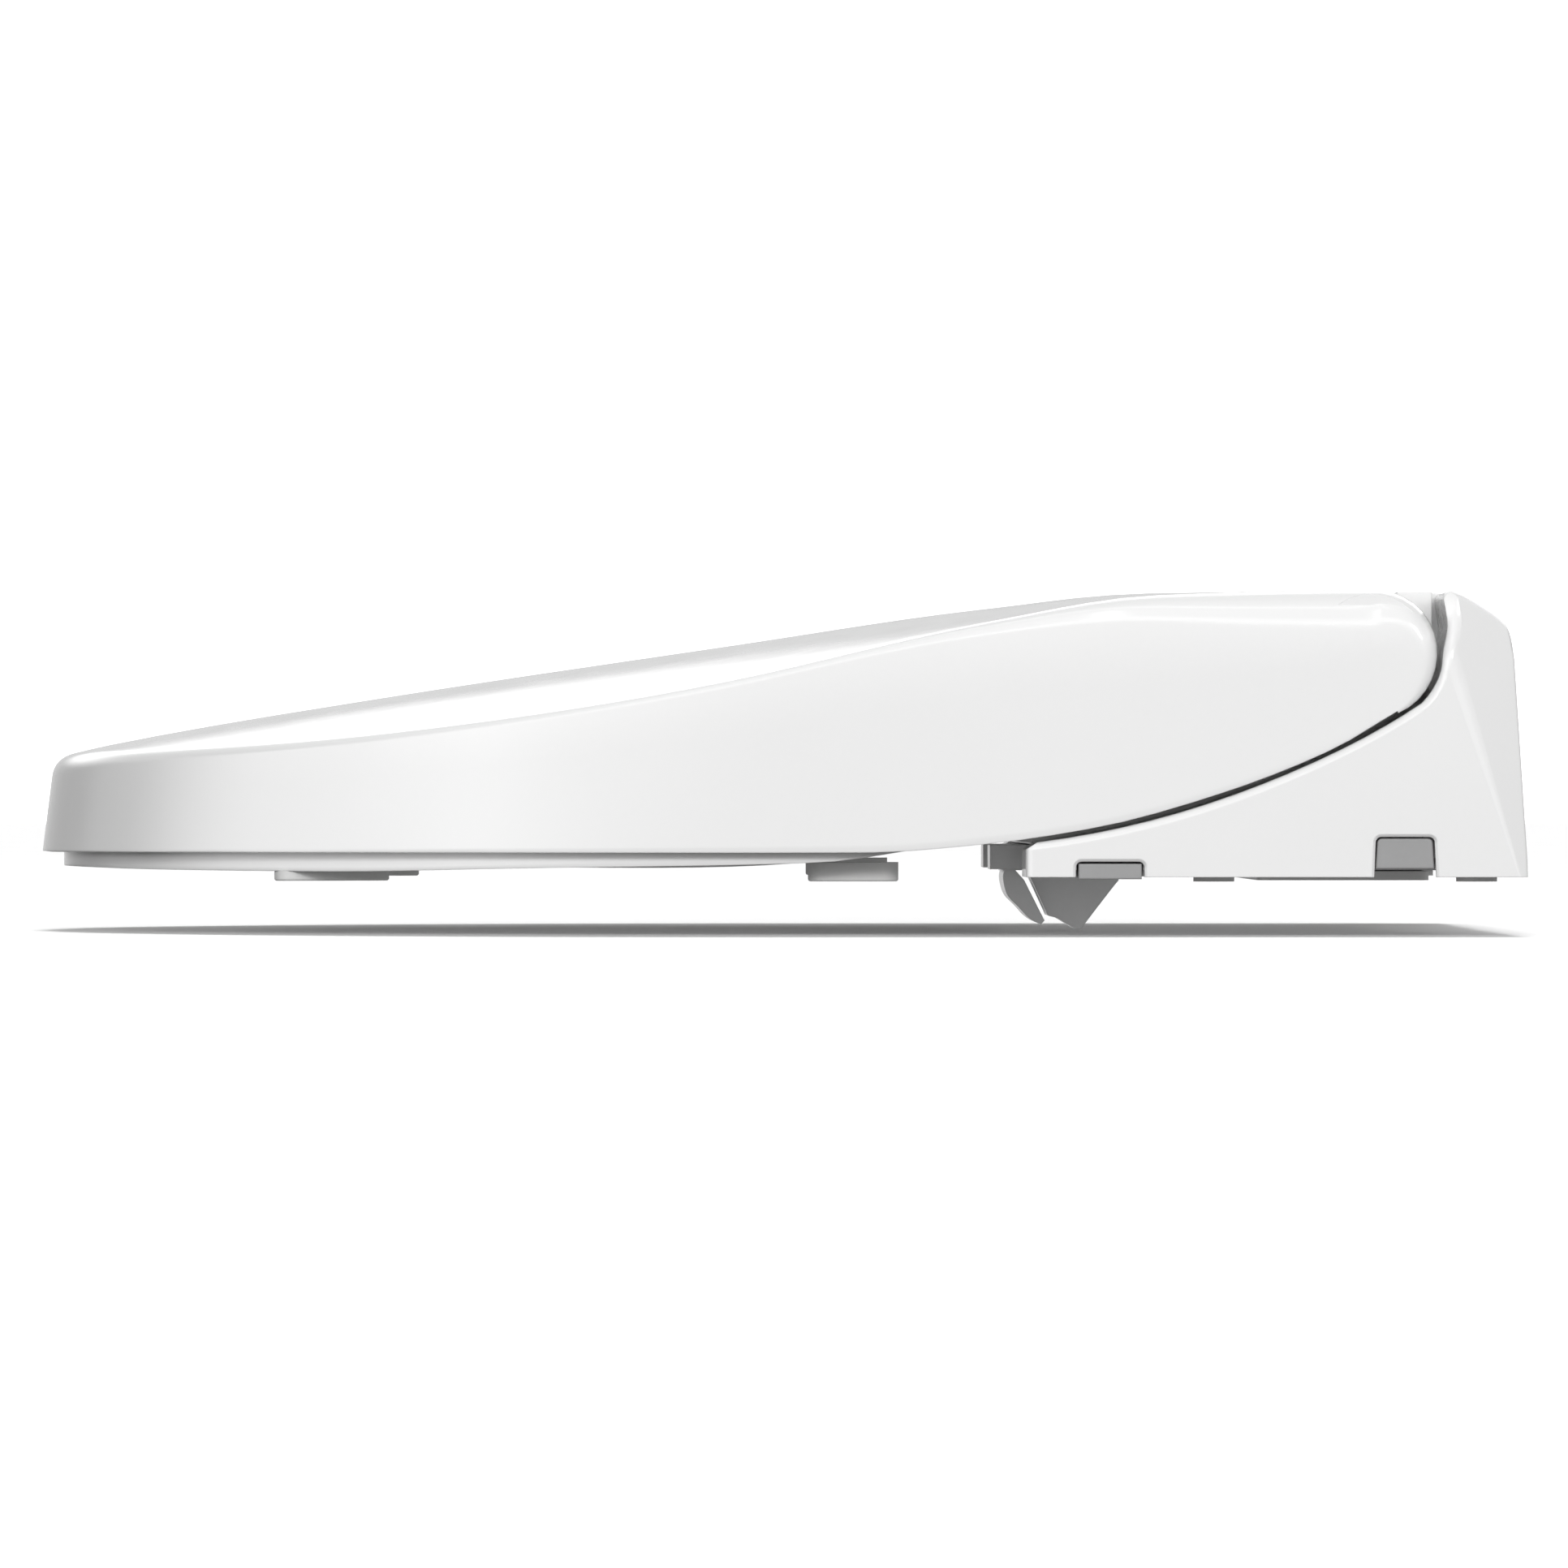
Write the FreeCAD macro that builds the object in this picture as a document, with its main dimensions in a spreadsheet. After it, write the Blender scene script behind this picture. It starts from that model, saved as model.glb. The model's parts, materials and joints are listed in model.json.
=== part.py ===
"""Electric bidet seat: mounting plate, slide-on housing with its works, heated seat and lid.

Frame: millimetres, +Z up, the front of the seat towards -Y, +X to the sitter's left.
The origin lies on the underside of the mounting plate, midway between its two bolt slots.
The seat and the lid turn on one axis, parallel to X, at (hinge_y, hinge_z).
"""
import FreeCAD
import Part
import Sketcher
import math
import os
from FreeCAD import Rotation, Vector

X_AXIS = Vector(1, 0, 0)
Y_AXIS = Vector(0, 1, 0)
Z_AXIS = Vector(0, 0, 1)

doc = FreeCAD.newDocument("BidetSeat")
sheet = doc.addObject("Spreadsheet::Sheet", "Sizes")
NODES = []


# ---------------------------------------------------------------- driving dimensions
class Dim:
    """A sheet cell, or a sum on cells, that knows its number and its expression."""

    def __init__(self, number, text):
        self.number = float(number)
        self.text = text

    def __float__(self):
        return self.number

    def __neg__(self):
        return Dim(-self.number, f"(-{self.text})")

    def __add__(self, other):
        return Dim(self.number + float(other), f"({self.text} + {words(other)})")

    def __radd__(self, other):
        return self + other

    def __sub__(self, other):
        return Dim(self.number - float(other), f"({self.text} - {words(other)})")

    def __rsub__(self, other):
        return -self + other

    def __mul__(self, other):
        return Dim(self.number * float(other), f"({self.text} * {words(other)})")

    def __rmul__(self, other):
        return self * other

    def __truediv__(self, other):
        return Dim(self.number / float(other), f"({self.text} / {words(other)})")


def words(number):
    """The expression text of a Dim or a plain number."""
    return number.text if isinstance(number, Dim) else f"({float(number):.6f})"


def cells(**values):
    """Write one group of driving dimensions to the sheet and return them by name."""
    made = {}
    for alias, number in values.items():
        row = cells.next_row
        cells.next_row += 1
        sheet.set(f"A{row}", alias.replace("_", " "))
        sheet.set(f"B{row}", str(number))
        sheet.setAlias(f"B{row}", alias)
        made[alias] = Dim(number, f"Sizes.{alias}")
    return type("Group", (), made)


cells.next_row = 1

hinge = cells(hinge_y=6.6, hinge_z=78.3, shaft_radius=5.0, running_gap=0.05)
lid = cells(lid_half=190.0, lid_wall=3.0, nose_start=-200.0, nose_bottom=-462.6, nose_top=-448.2,
            lid_edge=9.9, roll_radius=22.8, boss_inner=158.0, boss_radius=19.9, rear_edge=-18.0)
seat = cells(seat_half=183.5, seat_nose=-453.0, seat_wall=3.0, hole_half=108.0, hole_front=-385.0,
             hole_mid=-225.0, arm_inner=142.2, arm_outer=156.0, arm_narrow=-42.0, knuckle_radius=18.0)
cover = cells(cover_half=190.0, cover_wall=2.8, cover_low=1.6, core_half=140.0, recess_radius=24.4,
              cowl_top=99.4, cowl_front=-16.0, ear_rear=29.3, rear_foot=59.8, side_front=-111.0,
              facet_edge=3.0, crease_low=1.2, crease_high=8.0, ledge_edge=2.4, corner_edge=2.5,
              rim_edge=0.9)
pan = cells(pan_half=184.5, pan_front=-105.2, pan_rear=54.0, pan_floor=4.0, pan_thick=2.5, pan_rim=8.0,
            apron_half=70.0, apron_front=-120.4, apron_rear=-107.7, apron_low=3.6, apron_top=12.2,
            apron_gap=34.0)
plate = cells(plate_half=110.0, plate_front=-28.0, plate_rear=32.0, plate_thick=3.2, slot_pitch=140.0,
              slot_radius=4.25, slot_long=24.0, rail_x=98.0, rail_neck=3.0, rail_head=6.5,
              rail_neck_top=7.4, rail_top=9.2, rail_front=-26.0, rail_rear=30.0, slide_gap=0.4)
wand = cells(mouth_y=-101.7, mouth_z=-6.4, wand_tilt=31.7, wand_radius=6.2, wand_tip=12.0,
             wand_end=124.0, pinion_y=56.0, pitch_radius=6.0, pitch_line=8.6, tooth_high=0.8,
             tooth_base=0.75, tooth_tip=0.35, rack_half=2.0, guide_front=40.0, guide_rear=112.0,
             guide_half=11.0, guide_low=-9.0, guide_top=4.0)
gate = cells(gate_hinge_y=-112.0, gate_hinge_z=7.0, gate_half=30.0, guard_half=20.0)
blower = cells(fan_x=62.0, fan_y=-34.0, fan_z=40.0, fan_radius=20.0, fan_wide=22.0, volute_radius=25.0,
               volute_wall=2.0, fan_motor_radius=13.0)
dryer = cells(vent_x_low=64.0, vent_x_high=92.0, vent_z_low=20.0, vent_z_high=36.0,
              flap_gap=0.5, flap_thick=1.8)
button = cells(button_front=7.9, button_rear=27.8, button_low=4.4, button_top=14.8, button_outer=188.0,
               bar_inner=118.0, bar_front=14.0, bar_rear=22.0)
filters = cells(cartridge_front=-93.1, cartridge_rear=-71.6, cartridge_low=1.4, cartridge_top=7.3,
                cartridge_inner=132.0, cartridge_outer=188.2, bay_gap=0.5)
aux = cells(key_radius=7.0, key_gap=0.4, key_low=86.0, key_top=93.4, deck_top=92.0)
inlet = cells(inlet_x=-158.0, inlet_y=30.0, inlet_radius=10.4, inlet_bore=6.5, inlet_low=1.8,
              inlet_top=24.0, inlet_clear=17.5, inlet_shoulder=16.8, inlet_neck=9.4)
doc.recompute()


# ---------------------------------------------------------------- document helpers
def bind(item, name, number):
    """Bind a property to its cell, or set a plain number."""
    if isinstance(number, Dim):
        item.setExpression(name, number.text)
    else:
        item.setExpression(name, words(number))


def place(item, corner):
    """Bind the three coordinates of an object's Placement."""
    for letter, number in zip("xyz", corner):
        bind(item, f"Placement.Base.{letter}", number)


def node(label, item):
    """Keep this object as a named sub-part of the seat."""
    item.Label = label
    NODES.append(item)
    return item


def block(name, low, high):
    """A Part::Box between two corners."""
    item = doc.addObject("Part::Box", name)
    for side, first, last in zip(("Length", "Width", "Height"), low, high):
        bind(item, side, last - first if isinstance(last, Dim) else -(first - last))
    place(item, low)
    return item


TURNS = {"x": Rotation(Y_AXIS, 90), "y": Rotation(X_AXIS, -90), "z": Rotation()}


def rod(name, axis, start, radius, length):
    """A Part::Cylinder from start, along +X, +Y or +Z."""
    item = doc.addObject("Part::Cylinder", name)
    item.Placement = FreeCAD.Placement(Vector(), TURNS[axis])
    bind(item, "Radius", radius)
    bind(item, "Height", length)
    place(item, start)
    return item


def cut(name, base, *tools):
    """Base less every tool."""
    for count, tool in enumerate(tools):
        item = doc.addObject("Part::Cut", f"{name}_cut{count}")
        item.Base = base
        item.Tool = tool
        base = item
    return base


def fuse(name, *shapes):
    """All the shapes as one solid."""
    item = doc.addObject("Part::MultiFuse", name)
    item.Shapes = list(shapes)
    item.Refine = True
    return item


def group(name, *shapes):
    """Several separate solids kept as one sub-part."""
    item = doc.addObject("Part::Compound", name)
    item.Links = list(shapes)
    return item


def coded(name, shape):
    """A Part::Feature for a free-form shape, which reads its sizes from the sheet's values."""
    item = doc.addObject("Part::Feature", name)
    item.Shape = shape
    item.Placement = FreeCAD.Placement()
    return item


def origin_plane(body, role):
    """One of a body's own origin planes."""
    return next(part for part in body.Origin.OriginFeatures if part.Role == role)


def offset_sketch(body, name, plane, level):
    """An empty sketch on a body's origin plane, raised along that plane's normal."""
    sketch = body.newObject("Sketcher::SketchObject", name)
    sketch.AttachmentSupport = [(origin_plane(body, plane), "")]
    sketch.MapMode = "FlatFace"
    bind(sketch, "AttachmentOffset.Base.z", level)
    return sketch


def draw_outline(sketch, corners):
    """A closed outline of straight sides with every corner bound to its cells."""
    count = len(corners)
    spots = [Vector(float(along), float(up), 0) for along, up in corners]
    for index in range(count):
        sketch.addGeometry(Part.LineSegment(spots[index], spots[(index + 1) % count]), False)
    for index in range(count):
        sketch.addConstraint(Sketcher.Constraint("Coincident", index, 2, (index + 1) % count, 1))
    for index, (along, up) in enumerate(corners):
        for kind, number in (("DistanceX", along), ("DistanceY", up)):
            made = sketch.addConstraint(Sketcher.Constraint(kind, -1, 1, index, 1, float(number)))
            if isinstance(number, Dim):
                sketch.setExpression(f"Constraints[{made}]", number.text)


def pad(body, name, plane, corners, low, high):
    """Add a straight-sided pad between two levels of a plane."""
    sketch = offset_sketch(body, f"{name}_sketch", plane, low)
    draw_outline(sketch, corners)
    feature = body.newObject("PartDesign::Pad", f"{name}_pad")
    feature.Profile = sketch
    bind(feature, "Length", high - low if isinstance(high, Dim) else -(low - high))
    doc.recompute()
    return feature


def pocket(body, name, plane, corners, level, depth):
    """Cut a straight-sided pocket down from a level, against the plane's normal."""
    sketch = offset_sketch(body, f"{name}_sketch", plane, level)
    draw_outline(sketch, corners)
    before = body.Shape.Volume
    feature = body.newObject("PartDesign::Pocket", f"{name}_pocket")
    feature.Profile = sketch
    bind(feature, "Length", depth)
    doc.recompute()
    if body.Shape.Volume >= before:
        raise RuntimeError(f"{name} cuts nothing")
    return feature


def new_body(name):
    """An empty PartDesign body."""
    return doc.addObject("PartDesign::Body", name)


def padded(name, plane, corners, low, high):
    """A body with one straight-sided pad."""
    body = new_body(name)
    pad(body, name, plane, corners, low, high)
    return body


def round_edges(body, radius, pick):
    """Fillet the edges of a body's tip that pick() accepts."""
    tip = body.Tip
    names = [f"Edge{index}" for index, edge in enumerate(tip.Shape.Edges, 1) if pick(edge)]
    fillet = body.newObject("PartDesign::Fillet", f"{body.Name}_round{len(body.Group)}")
    fillet.Base = (tip, names)
    bind(fillet, "Radius", radius)
    doc.recompute()
    return fillet


def runs_along(axis):
    """Accept straight edges that run along an axis."""
    def pick(edge):
        straight = isinstance(edge.Curve, Part.Line)
        return straight and abs(edge.tangentAt(edge.FirstParameter).dot(axis)) > 0.999
    return pick


def rectangle(across_low, up_low, across_high, up_high):
    """The four corners of a rectangle, anticlockwise."""
    return [(across_low, up_low), (across_high, up_low), (across_high, up_high), (across_low, up_high)]


def casing(name, low, high, radius):
    """A rounded box for a moulded or boxed inner unit."""
    body = padded(name, "XY_Plane", rectangle(low[0], low[1], high[0], high[1]), low[2], high[2])
    round_edges(body, radius, runs_along(Z_AXIS))
    top = max(vertex.Z for vertex in body.Shape.Vertexes)
    round_edges(body, radius * 0.5, lambda edge: min(v.Z for v in edge.Vertexes) > top - 0.01)
    return body


# ---------------------------------------------------------------- free-form helpers
def side(points):
    """Points of the side view, (y, z), as vectors at X = 0."""
    return [Vector(0, float(along), float(up)) for along, up in points]


def smooth(points):
    """One smooth edge through points."""
    spline = Part.BSplineCurve()
    spline.interpolate(points)
    return spline.toShape()


def chain(*runs):
    """A closed face from runs of points: two points make a line, more make a smooth curve."""
    edges = []
    for run in runs:
        edges.append(Part.LineSegment(*run).toShape() if len(run) == 2 else smooth(run))
    for first, last in zip(runs, runs[1:] + runs[:1]):
        if (first[-1] - last[0]).Length > 0.001:
            edges.append(Part.LineSegment(first[-1], last[0]).toShape())
    return Part.Face(Part.Wire(Part.sortEdges(edges)[0]))


def across(face, x_low, x_high):
    """A side-view face at X = 0, swept from x_low to x_high."""
    moved = face.copy()
    moved.translate(Vector(float(x_low), 0, 0))
    return moved.extrude(Vector(float(x_high) - float(x_low), 0, 0))


def both_sides(shape):
    """A shape and its mirror image across X = 0."""
    return [shape, shape.mirror(Vector(), X_AXIS)]


def round_bar(centre_y, centre_z, radius, x_low, x_high):
    """A plain cylinder along X, for building free-form pieces."""
    spot = Vector(float(x_low), float(centre_y), float(centre_z))
    return Part.makeCylinder(float(radius), float(x_high) - float(x_low), spot, X_AXIS)


def solid_box(low, high):
    """A plain box between corners, for building free-form pieces."""
    size = [float(b) - float(a) for a, b in zip(low, high)]
    return Part.makeBox(*size, Vector(*[float(a) for a in low]))


def on_hinge(radius, degrees):
    """The (y, z) point at a radius and angle about the hinge axis, 0 rearwards and 90 up."""
    turn = math.radians(degrees)
    return (float(hinge.hinge_y) + float(radius) * math.cos(turn),
            float(hinge.hinge_z) + float(radius) * math.sin(turn))


# ---------------------------------------------------------------- lid
# Crown of the lid on the centre plane and its fall to the side panels, front to rear: (y, z, fall).
CROWN = ((-475, 38.6, 27.5), (-432, 48.9, 26.0), (-330, 66.2, 21.6), (-212, 83.8, 15.9),
         (-124, 96.4, 8.6), (-66, 101.6, 4.4), (6.6, 101.1, 1.6), (40, 99.6, 1.0))
# Lower edge of the side panel, from the level stretch back to the boss.
LID_EDGE = ((-163, 10.0), (-129, 12.4), (-87, 18.5), (-46, 29.7), (-7, 45.0), (12.5, 56.4))
# Angle about the hinge where the rolled rear ends, in degrees.
ROLL_END = -67


def crown_block(sink):
    """Everything under the crowned top, lowered by sink."""
    sections = []
    half = float(lid.lid_half) + 2
    for along, top, fall in CROWN:
        left = Vector(-half, along, top - fall - sink)
        middle = Vector(0, along, top - sink)
        right = Vector(half, along, top - fall - sink)
        floor = -20.0
        edges = [Part.Arc(left, middle, right).toShape(),
                 Part.LineSegment(right, Vector(half, along, floor)).toShape(),
                 Part.LineSegment(Vector(half, along, floor), Vector(-half, along, floor)).toShape(),
                 Part.LineSegment(Vector(-half, along, floor), left).toShape()]
        sections.append(Part.Wire(edges))
    return Part.makeLoft(sections, True, False)


def nose_outline(half, start, front, rear, level):
    """Plan outline: an elliptical nose on two straight sides."""
    centre = Vector(0, start, level)
    oval = Part.Ellipse(Vector(0, front, level), Vector(half, start, level), centre)
    nose = oval.toShape(-math.pi / 2, math.pi / 2)
    ends = sorted((vertex.Point for vertex in nose.Vertexes), key=lambda spot: spot.x)
    left, right = ends[0], ends[-1]
    back_left = Vector(left.x, rear, level)
    back_right = Vector(right.x, rear, level)
    return Part.Wire([nose, Part.LineSegment(right, back_right).toShape(),
                      Part.LineSegment(back_right, back_left).toShape(),
                      Part.LineSegment(back_left, left).toShape()])


def nose_block(inset, rear, low=-5.0, high=110.0):
    """The drafted plan of the lid as a solid, inset all round."""
    half = float(lid.lid_half) - inset
    start = float(lid.nose_start)
    bottom = nose_outline(half, start, float(lid.nose_bottom) + inset, rear, low)
    top = nose_outline(half, start, float(lid.nose_top) + inset, rear, high)
    return Part.makeLoft([bottom, top], True, True)


def roof(level, front):
    """The top run that closes a side view of the lid above the crown."""
    return side([(float(hinge.hinge_y), level), (front, level)])


def leaf_face():
    """Side view of the lid: level edge, rising edge, then round the hinge to the top."""
    far, top, level = -500.0, 130.0, float(lid.lid_edge)
    rising = side(LID_EDGE)
    arc = side([on_hinge(lid.roll_radius, turn) for turn in (ROLL_END, -40, 0, 40, 65, 90)])
    return chain(side([(far, level), (LID_EDGE[0][0], level)]), rising + arc[:1], arc, roof(top, far))


def leaf_space():
    """Side view of the space inside the lid, open below the level of its edge."""
    far, top, below = -500.0, 130.0, -20.0
    radius = float(lid.roll_radius) - float(lid.lid_wall)
    middle = float(hinge.hinge_y)
    arc = side([on_hinge(radius, turn) for turn in (-90, -45, 0, 45, 90)])
    return chain(side([(far, below), (middle, below)]), side([(middle, below), on_hinge(radius, -90)]),
                 arc, roof(top, far))


def make_lid():
    """Crowned shell with flush side panels, a rolled rear edge and two solid hinge bosses."""
    axis_y = float(hinge.hinge_y)
    axis_z = float(hinge.hinge_z)
    wall = float(lid.lid_wall)
    boss = float(lid.boss_inner)
    half = float(lid.lid_half)
    outer = nose_block(0, 45.0).common(crown_block(0)).common(across(leaf_face(), -half, half))
    inner = nose_block(wall, 45.0).common(crown_block(wall))
    inner = inner.common(across(leaf_space(), -half + wall, half - wall))
    shell = outer.cut(inner)
    shell = shell.cut(solid_box((-boss, float(lid.rear_edge), -20), (boss, 60, 130)))
    shell = shell.fuse([piece for piece in both_sides(
        round_bar(axis_y, axis_z, float(lid.boss_radius), boss, half - wall + 0.5))])
    bore = round_bar(axis_y, axis_z, float(hinge.shaft_radius), boss - 1, boss + 20)
    plug = round_bar(axis_y, axis_z, 7.0, -boss - 20, -boss + 1)
    return shell.cut(bore).cut(plug).removeSplitter()


# ---------------------------------------------------------------- seat
SEAT_UNDER = ((-449.5, 4.6), (-412, 3.7), (-350, 3.3), (-284, 4.5), (-184, 6.4), (-160, 9.0))
SEAT_ARM_UNDER = ((-160, 9.0), (-129, 15.5), (-87, 23.0), (-46, 34.5), (-12, 50.0), (-2, 62.4))
SEAT_TOP = ((-9.5, 86.4), (-36, 77.0), (-80, 66.0), (-150, 55.0), (-250, 47.5), (-350, 41.5),
            (-425, 34.0))
SEAT_NOSE = ((-425, 34.0), (-444, 28.0), (-452, 18.0), (-453, 9.5), (-449.5, 4.6))


def seat_side(raised, lowered):
    """Side view of the seat, its underside raised and its top lowered for the space inside."""
    under = side([(along, up + raised) for along, up in SEAT_UNDER])
    arm = side([(along, up + raised) for along, up in SEAT_ARM_UNDER])
    top = side([(along, up - lowered) for along, up in SEAT_TOP])
    nose = side([(along + lowered * 0.4, up - lowered * (up > 20) + raised * (up < 6))
                 for along, up in SEAT_NOSE])
    return chain(under, arm, side([(-2, 62.4 + raised), (-9.5, 86.4 - lowered)]), top, nose)


def seat_plan(inset, rear):
    """Plan of the seat as a solid: U-shaped ring with two rear arms."""
    half = float(seat.seat_half) - inset
    outer = Part.Face(nose_outline(half, float(lid.nose_start), float(seat.seat_nose) + inset, rear, -10))
    hole_half = float(seat.hole_half) + inset
    hole = nose_outline(hole_half, float(seat.hole_mid), float(seat.hole_front) - inset, 60.0, -10)
    solid = outer.extrude(Vector(0, 0, 130)).cut(Part.Face(hole).extrude(Vector(0, 0, 130)))
    inner = float(seat.arm_inner) + inset
    wedge = [Vector(hole_half, -215, -10), Vector(hole_half + 9, -150, -10), Vector(inner, -116, -10),
             Vector(inner, 60, -10), Vector(0, 60, -10), Vector(0, -215, -10)]
    wedge_face = Part.Face(Part.makePolygon(wedge + wedge[:1]))
    for piece in both_sides(wedge_face.extrude(Vector(0, 0, 130))):
        solid = solid.cut(piece)
    return solid


def make_seat():
    """The upper shell and the lower plate of the seat."""
    axis_y = float(hinge.hinge_y)
    axis_z = float(hinge.hinge_z)
    wall = float(seat.seat_wall)
    inner = float(seat.arm_inner)
    outer = float(seat.arm_outer)
    narrow = float(seat.arm_narrow)
    reach = 200.0
    whole = seat_plan(0, 20.0).common(across(seat_side(0, 0), -reach, reach))
    for trim in both_sides(solid_box((outer, narrow, -10), (reach, 60, 130))):
        whole = whole.cut(trim)
    hollow = seat_plan(wall, 20.0).common(across(seat_side(-4, wall), -reach, reach))
    hollow = hollow.cut(solid_box((-reach, narrow - wall, -20), (reach, 60, 130)))
    top = whole.cut(hollow)
    knuckle = round_bar(axis_y, axis_z, float(seat.knuckle_radius), inner, outer)
    top = top.fuse(both_sides(knuckle))
    gap = 0.15
    plan = seat_plan(wall + gap, 20.0)
    floor_face = chain(side([(along, up + 0.3) for along, up in SEAT_UNDER[:-1]] + [(-155, 10.4)]),
                       side([(along, up + 0.6) for along, up in ((-155, 9.8), (-129, 15.2), (-87, 22.6),
                                                               (-52, 32.6))]),
                       side([(-52, 36.0), (-87, 26.0), (-129, 18.6), (-155, 13.4)]),
                       side([(along, up + 2.8) for along, up in reversed(SEAT_UNDER[:-1])]))
    bottom = plan.common(across(floor_face, -reach, reach))
    bush_radius = 8.0
    for low in (inner, -outer):
        top = top.cut(round_bar(axis_y, axis_z, bush_radius, low - 1, low + outer - inner + 1))
    return top.removeSplitter(), bottom.removeSplitter()


def seat_height(along):
    """Height of the seat's flat top at a place front to rear."""
    for (rear, high), (front, low) in zip(SEAT_TOP, SEAT_TOP[1:]):
        if front <= along <= rear:
            return low + (high - low) * (along - front) / (rear - front)
    return SEAT_TOP[-1][1]


# ---------------------------------------------------------------- rear cover
# Places of the two round keys along X, and of their row along Y.
KEY_PLACES = (92.0, 114.0)
KEY_ROW = -38.0
# Place of the cord gland on the rear wall.
GLAND_X = 140.0
GLAND_Z = 22.0
# Ledge under the lid's side panel, and the hump behind the hinge, front to rear.
LEDGE = ((-107, 13.5), (-87, 16.7), (-60, 23.2), (-32, 32.7), (-7, 43.5), (9.4, 52.0), (20.0, 58.4))
HUMP = ((31.2, 99.4), (38.7, 97.7), (44.2, 94.9), (49.8, 91.6), (53.8, 88.2), (56.0, 82.5), (56.9, 76.0))


def hump_runs(inset, low):
    """Hump and rear wall from the crest down to the foot, inset for the space inside."""
    crest = [(along - inset * (0.35 if index > 2 else -0.3 + 0.1 * index), up - inset)
             for index, (along, up) in enumerate(HUMP)]
    crest = [(along - inset * (index / 9.0), up) for index, (along, up) in enumerate(crest)]
    foot = float(cover.rear_foot) - inset
    return [side(crest), side([crest[-1], (foot, 7.0)]), side([(foot, 7.0), (foot, low)])]


def wing_side(inset, low):
    """Side view of the housing beside the core."""
    front = float(cover.side_front) + inset
    recess = float(cover.recess_radius) + inset
    ledge = side([(along + inset * 0.3, up - inset) for along, up in LEDGE] + [on_hinge(recess, -46)])
    arc = side([on_hinge(recess, turn) for turn in (-46, -30, -14, 0)])
    hump = hump_runs(inset, low)
    arc += side([(32.7 + inset, 87.0), (32.0 + inset, 93.4)]) + hump[0][:1]
    start = (front, float(LEDGE[0][1]) - inset - 2.5)
    runs = [side([(front, low), start]), side([start, (LEDGE[0][0] + inset * 0.3, LEDGE[0][1] - inset)]),
            ledge, arc]
    return chain(*runs, *hump)


def core_side(inset, low):
    """Side view of the core: sloping front, deck, cowl over the hinge line and hump."""
    deck = float(aux.deck_top) - inset
    top = float(cover.cowl_top) - inset
    step = float(cover.cowl_front) + inset
    front = side([(-107.7 + inset, low), (-107.7 + inset, 13.0), (-100.5 + inset, 42.0)])
    slope = side([(-100.5 + inset, 42.0), (-86 + inset, 66.0), (-68 + inset, 84.0),
                  (-50 + inset * 0.6, deck)])
    roof = side([(-50 + inset * 0.6, deck), (step - 1.0, deck)])
    riser = side([(step - 1.0, deck), (step, top)])
    back = hump_runs(inset, low)
    cowl = [riser[-1], back[0][0]]
    return chain(front[:2], front[1:], slope, roof, riser, cowl, *back)


def ear_side():
    """Side view of the cowl's ears, which flank the hinge line outside the seat's knuckles."""
    top = float(cover.cowl_top)
    inner = float(seat.knuckle_radius) + 2.2
    arc = side([on_hinge(inner, turn) for turn in (57, 30, 0, -35)])
    rear = float(cover.ear_rear)
    return chain(side([(arc[0].y, top), (rear, top)]), side([(rear, top), (rear, arc[-1].z)]),
                 side([(rear, arc[-1].z), (arc[-1].y, arc[-1].z)]), arc[::-1],
                 side([(arc[0].y, arc[0].z), (arc[0].y, top)]))


def rear_facets(inset):
    """Two wedges that trim the rear corners to a facet that narrows downwards."""
    base = float(cover.cover_half) - inset
    corner = [Vector(base + 0.1, 33.5 - inset * 0.6, 79.0), Vector(base + 0.1, 57.4 - inset * 0.6, 0.0),
              Vector(base - 26, 58.2 - inset, 82.0)]
    normal = (corner[1] - corner[0]).cross(corner[2] - corner[0])
    normal.normalize()
    if normal.x < 0:
        normal = normal * -1
    plane = Part.makePlane(300, 300, corner[0], normal)
    centre = plane.CenterOfMass
    plane.translate(corner[0] - centre)
    return both_sides(plane.extrude(normal * 80))


def soften_hump(outer):
    """Round the hump's edges; the side crease opens out from its foot to its top."""
    half = float(cover.cover_half)
    edges = [edge for edge in outer.Edges if hump_edge(edge.BoundBox)]
    outer = outer.makeFillet(float(cover.facet_edge), edges)
    for sign in (1, -1):
        crease = next(edge for edge in outer.Edges if side_crease(edge, sign * half))
        radii = (float(cover.crease_low), float(cover.crease_high))
        if crease.valueAt(crease.FirstParameter).z > crease.valueAt(crease.LastParameter).z:
            radii = radii[::-1]
        outer = outer.makeFillet(*radii, [crease])
    return outer


def hump_edge(box):
    """The edges round the hump's two side facets, behind and above."""
    behind = box.ZLength > 60 and box.YMin > 56 and box.XLength > 10
    above = box.ZMin > 75 and box.ZLength > 20 and 15 < box.XLength < 30 and box.YLength > 20
    return (behind and box.YMax < 60) or above


def soften_skirt(outer):
    """Round the skirt's upper edge beside the lid, then its front corners."""
    half = float(cover.cover_half)
    beside_lid = [edge for edge in side_edges(outer, half) if lid_edge_beside(edge.BoundBox)]
    outer = outer.makeFillet(float(cover.ledge_edge), beside_lid)
    corners = [edge for edge in side_edges(outer, half)
               if edge.BoundBox.YMax < -100 and edge.BoundBox.ZLength > 1 and edge.BoundBox.YLength < 0.5]
    return outer.makeFillet(float(cover.corner_edge), corners)


def side_edges(shape, half):
    """Edges that lie in the two side planes."""
    return [edge for edge in shape.Edges
            if abs(abs(edge.CenterOfMass.x) - half) < 0.1 and edge.BoundBox.XLength < 0.1]


def lid_edge_beside(box):
    """The ledge's long curve and the arc round the hinge."""
    ledge = box.YMin < -100 and box.YMax < 30 and box.ZLength > 20
    arc = box.YMin > 15 and box.YMax < 34 and box.ZMin > 50
    return ledge or arc


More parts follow.
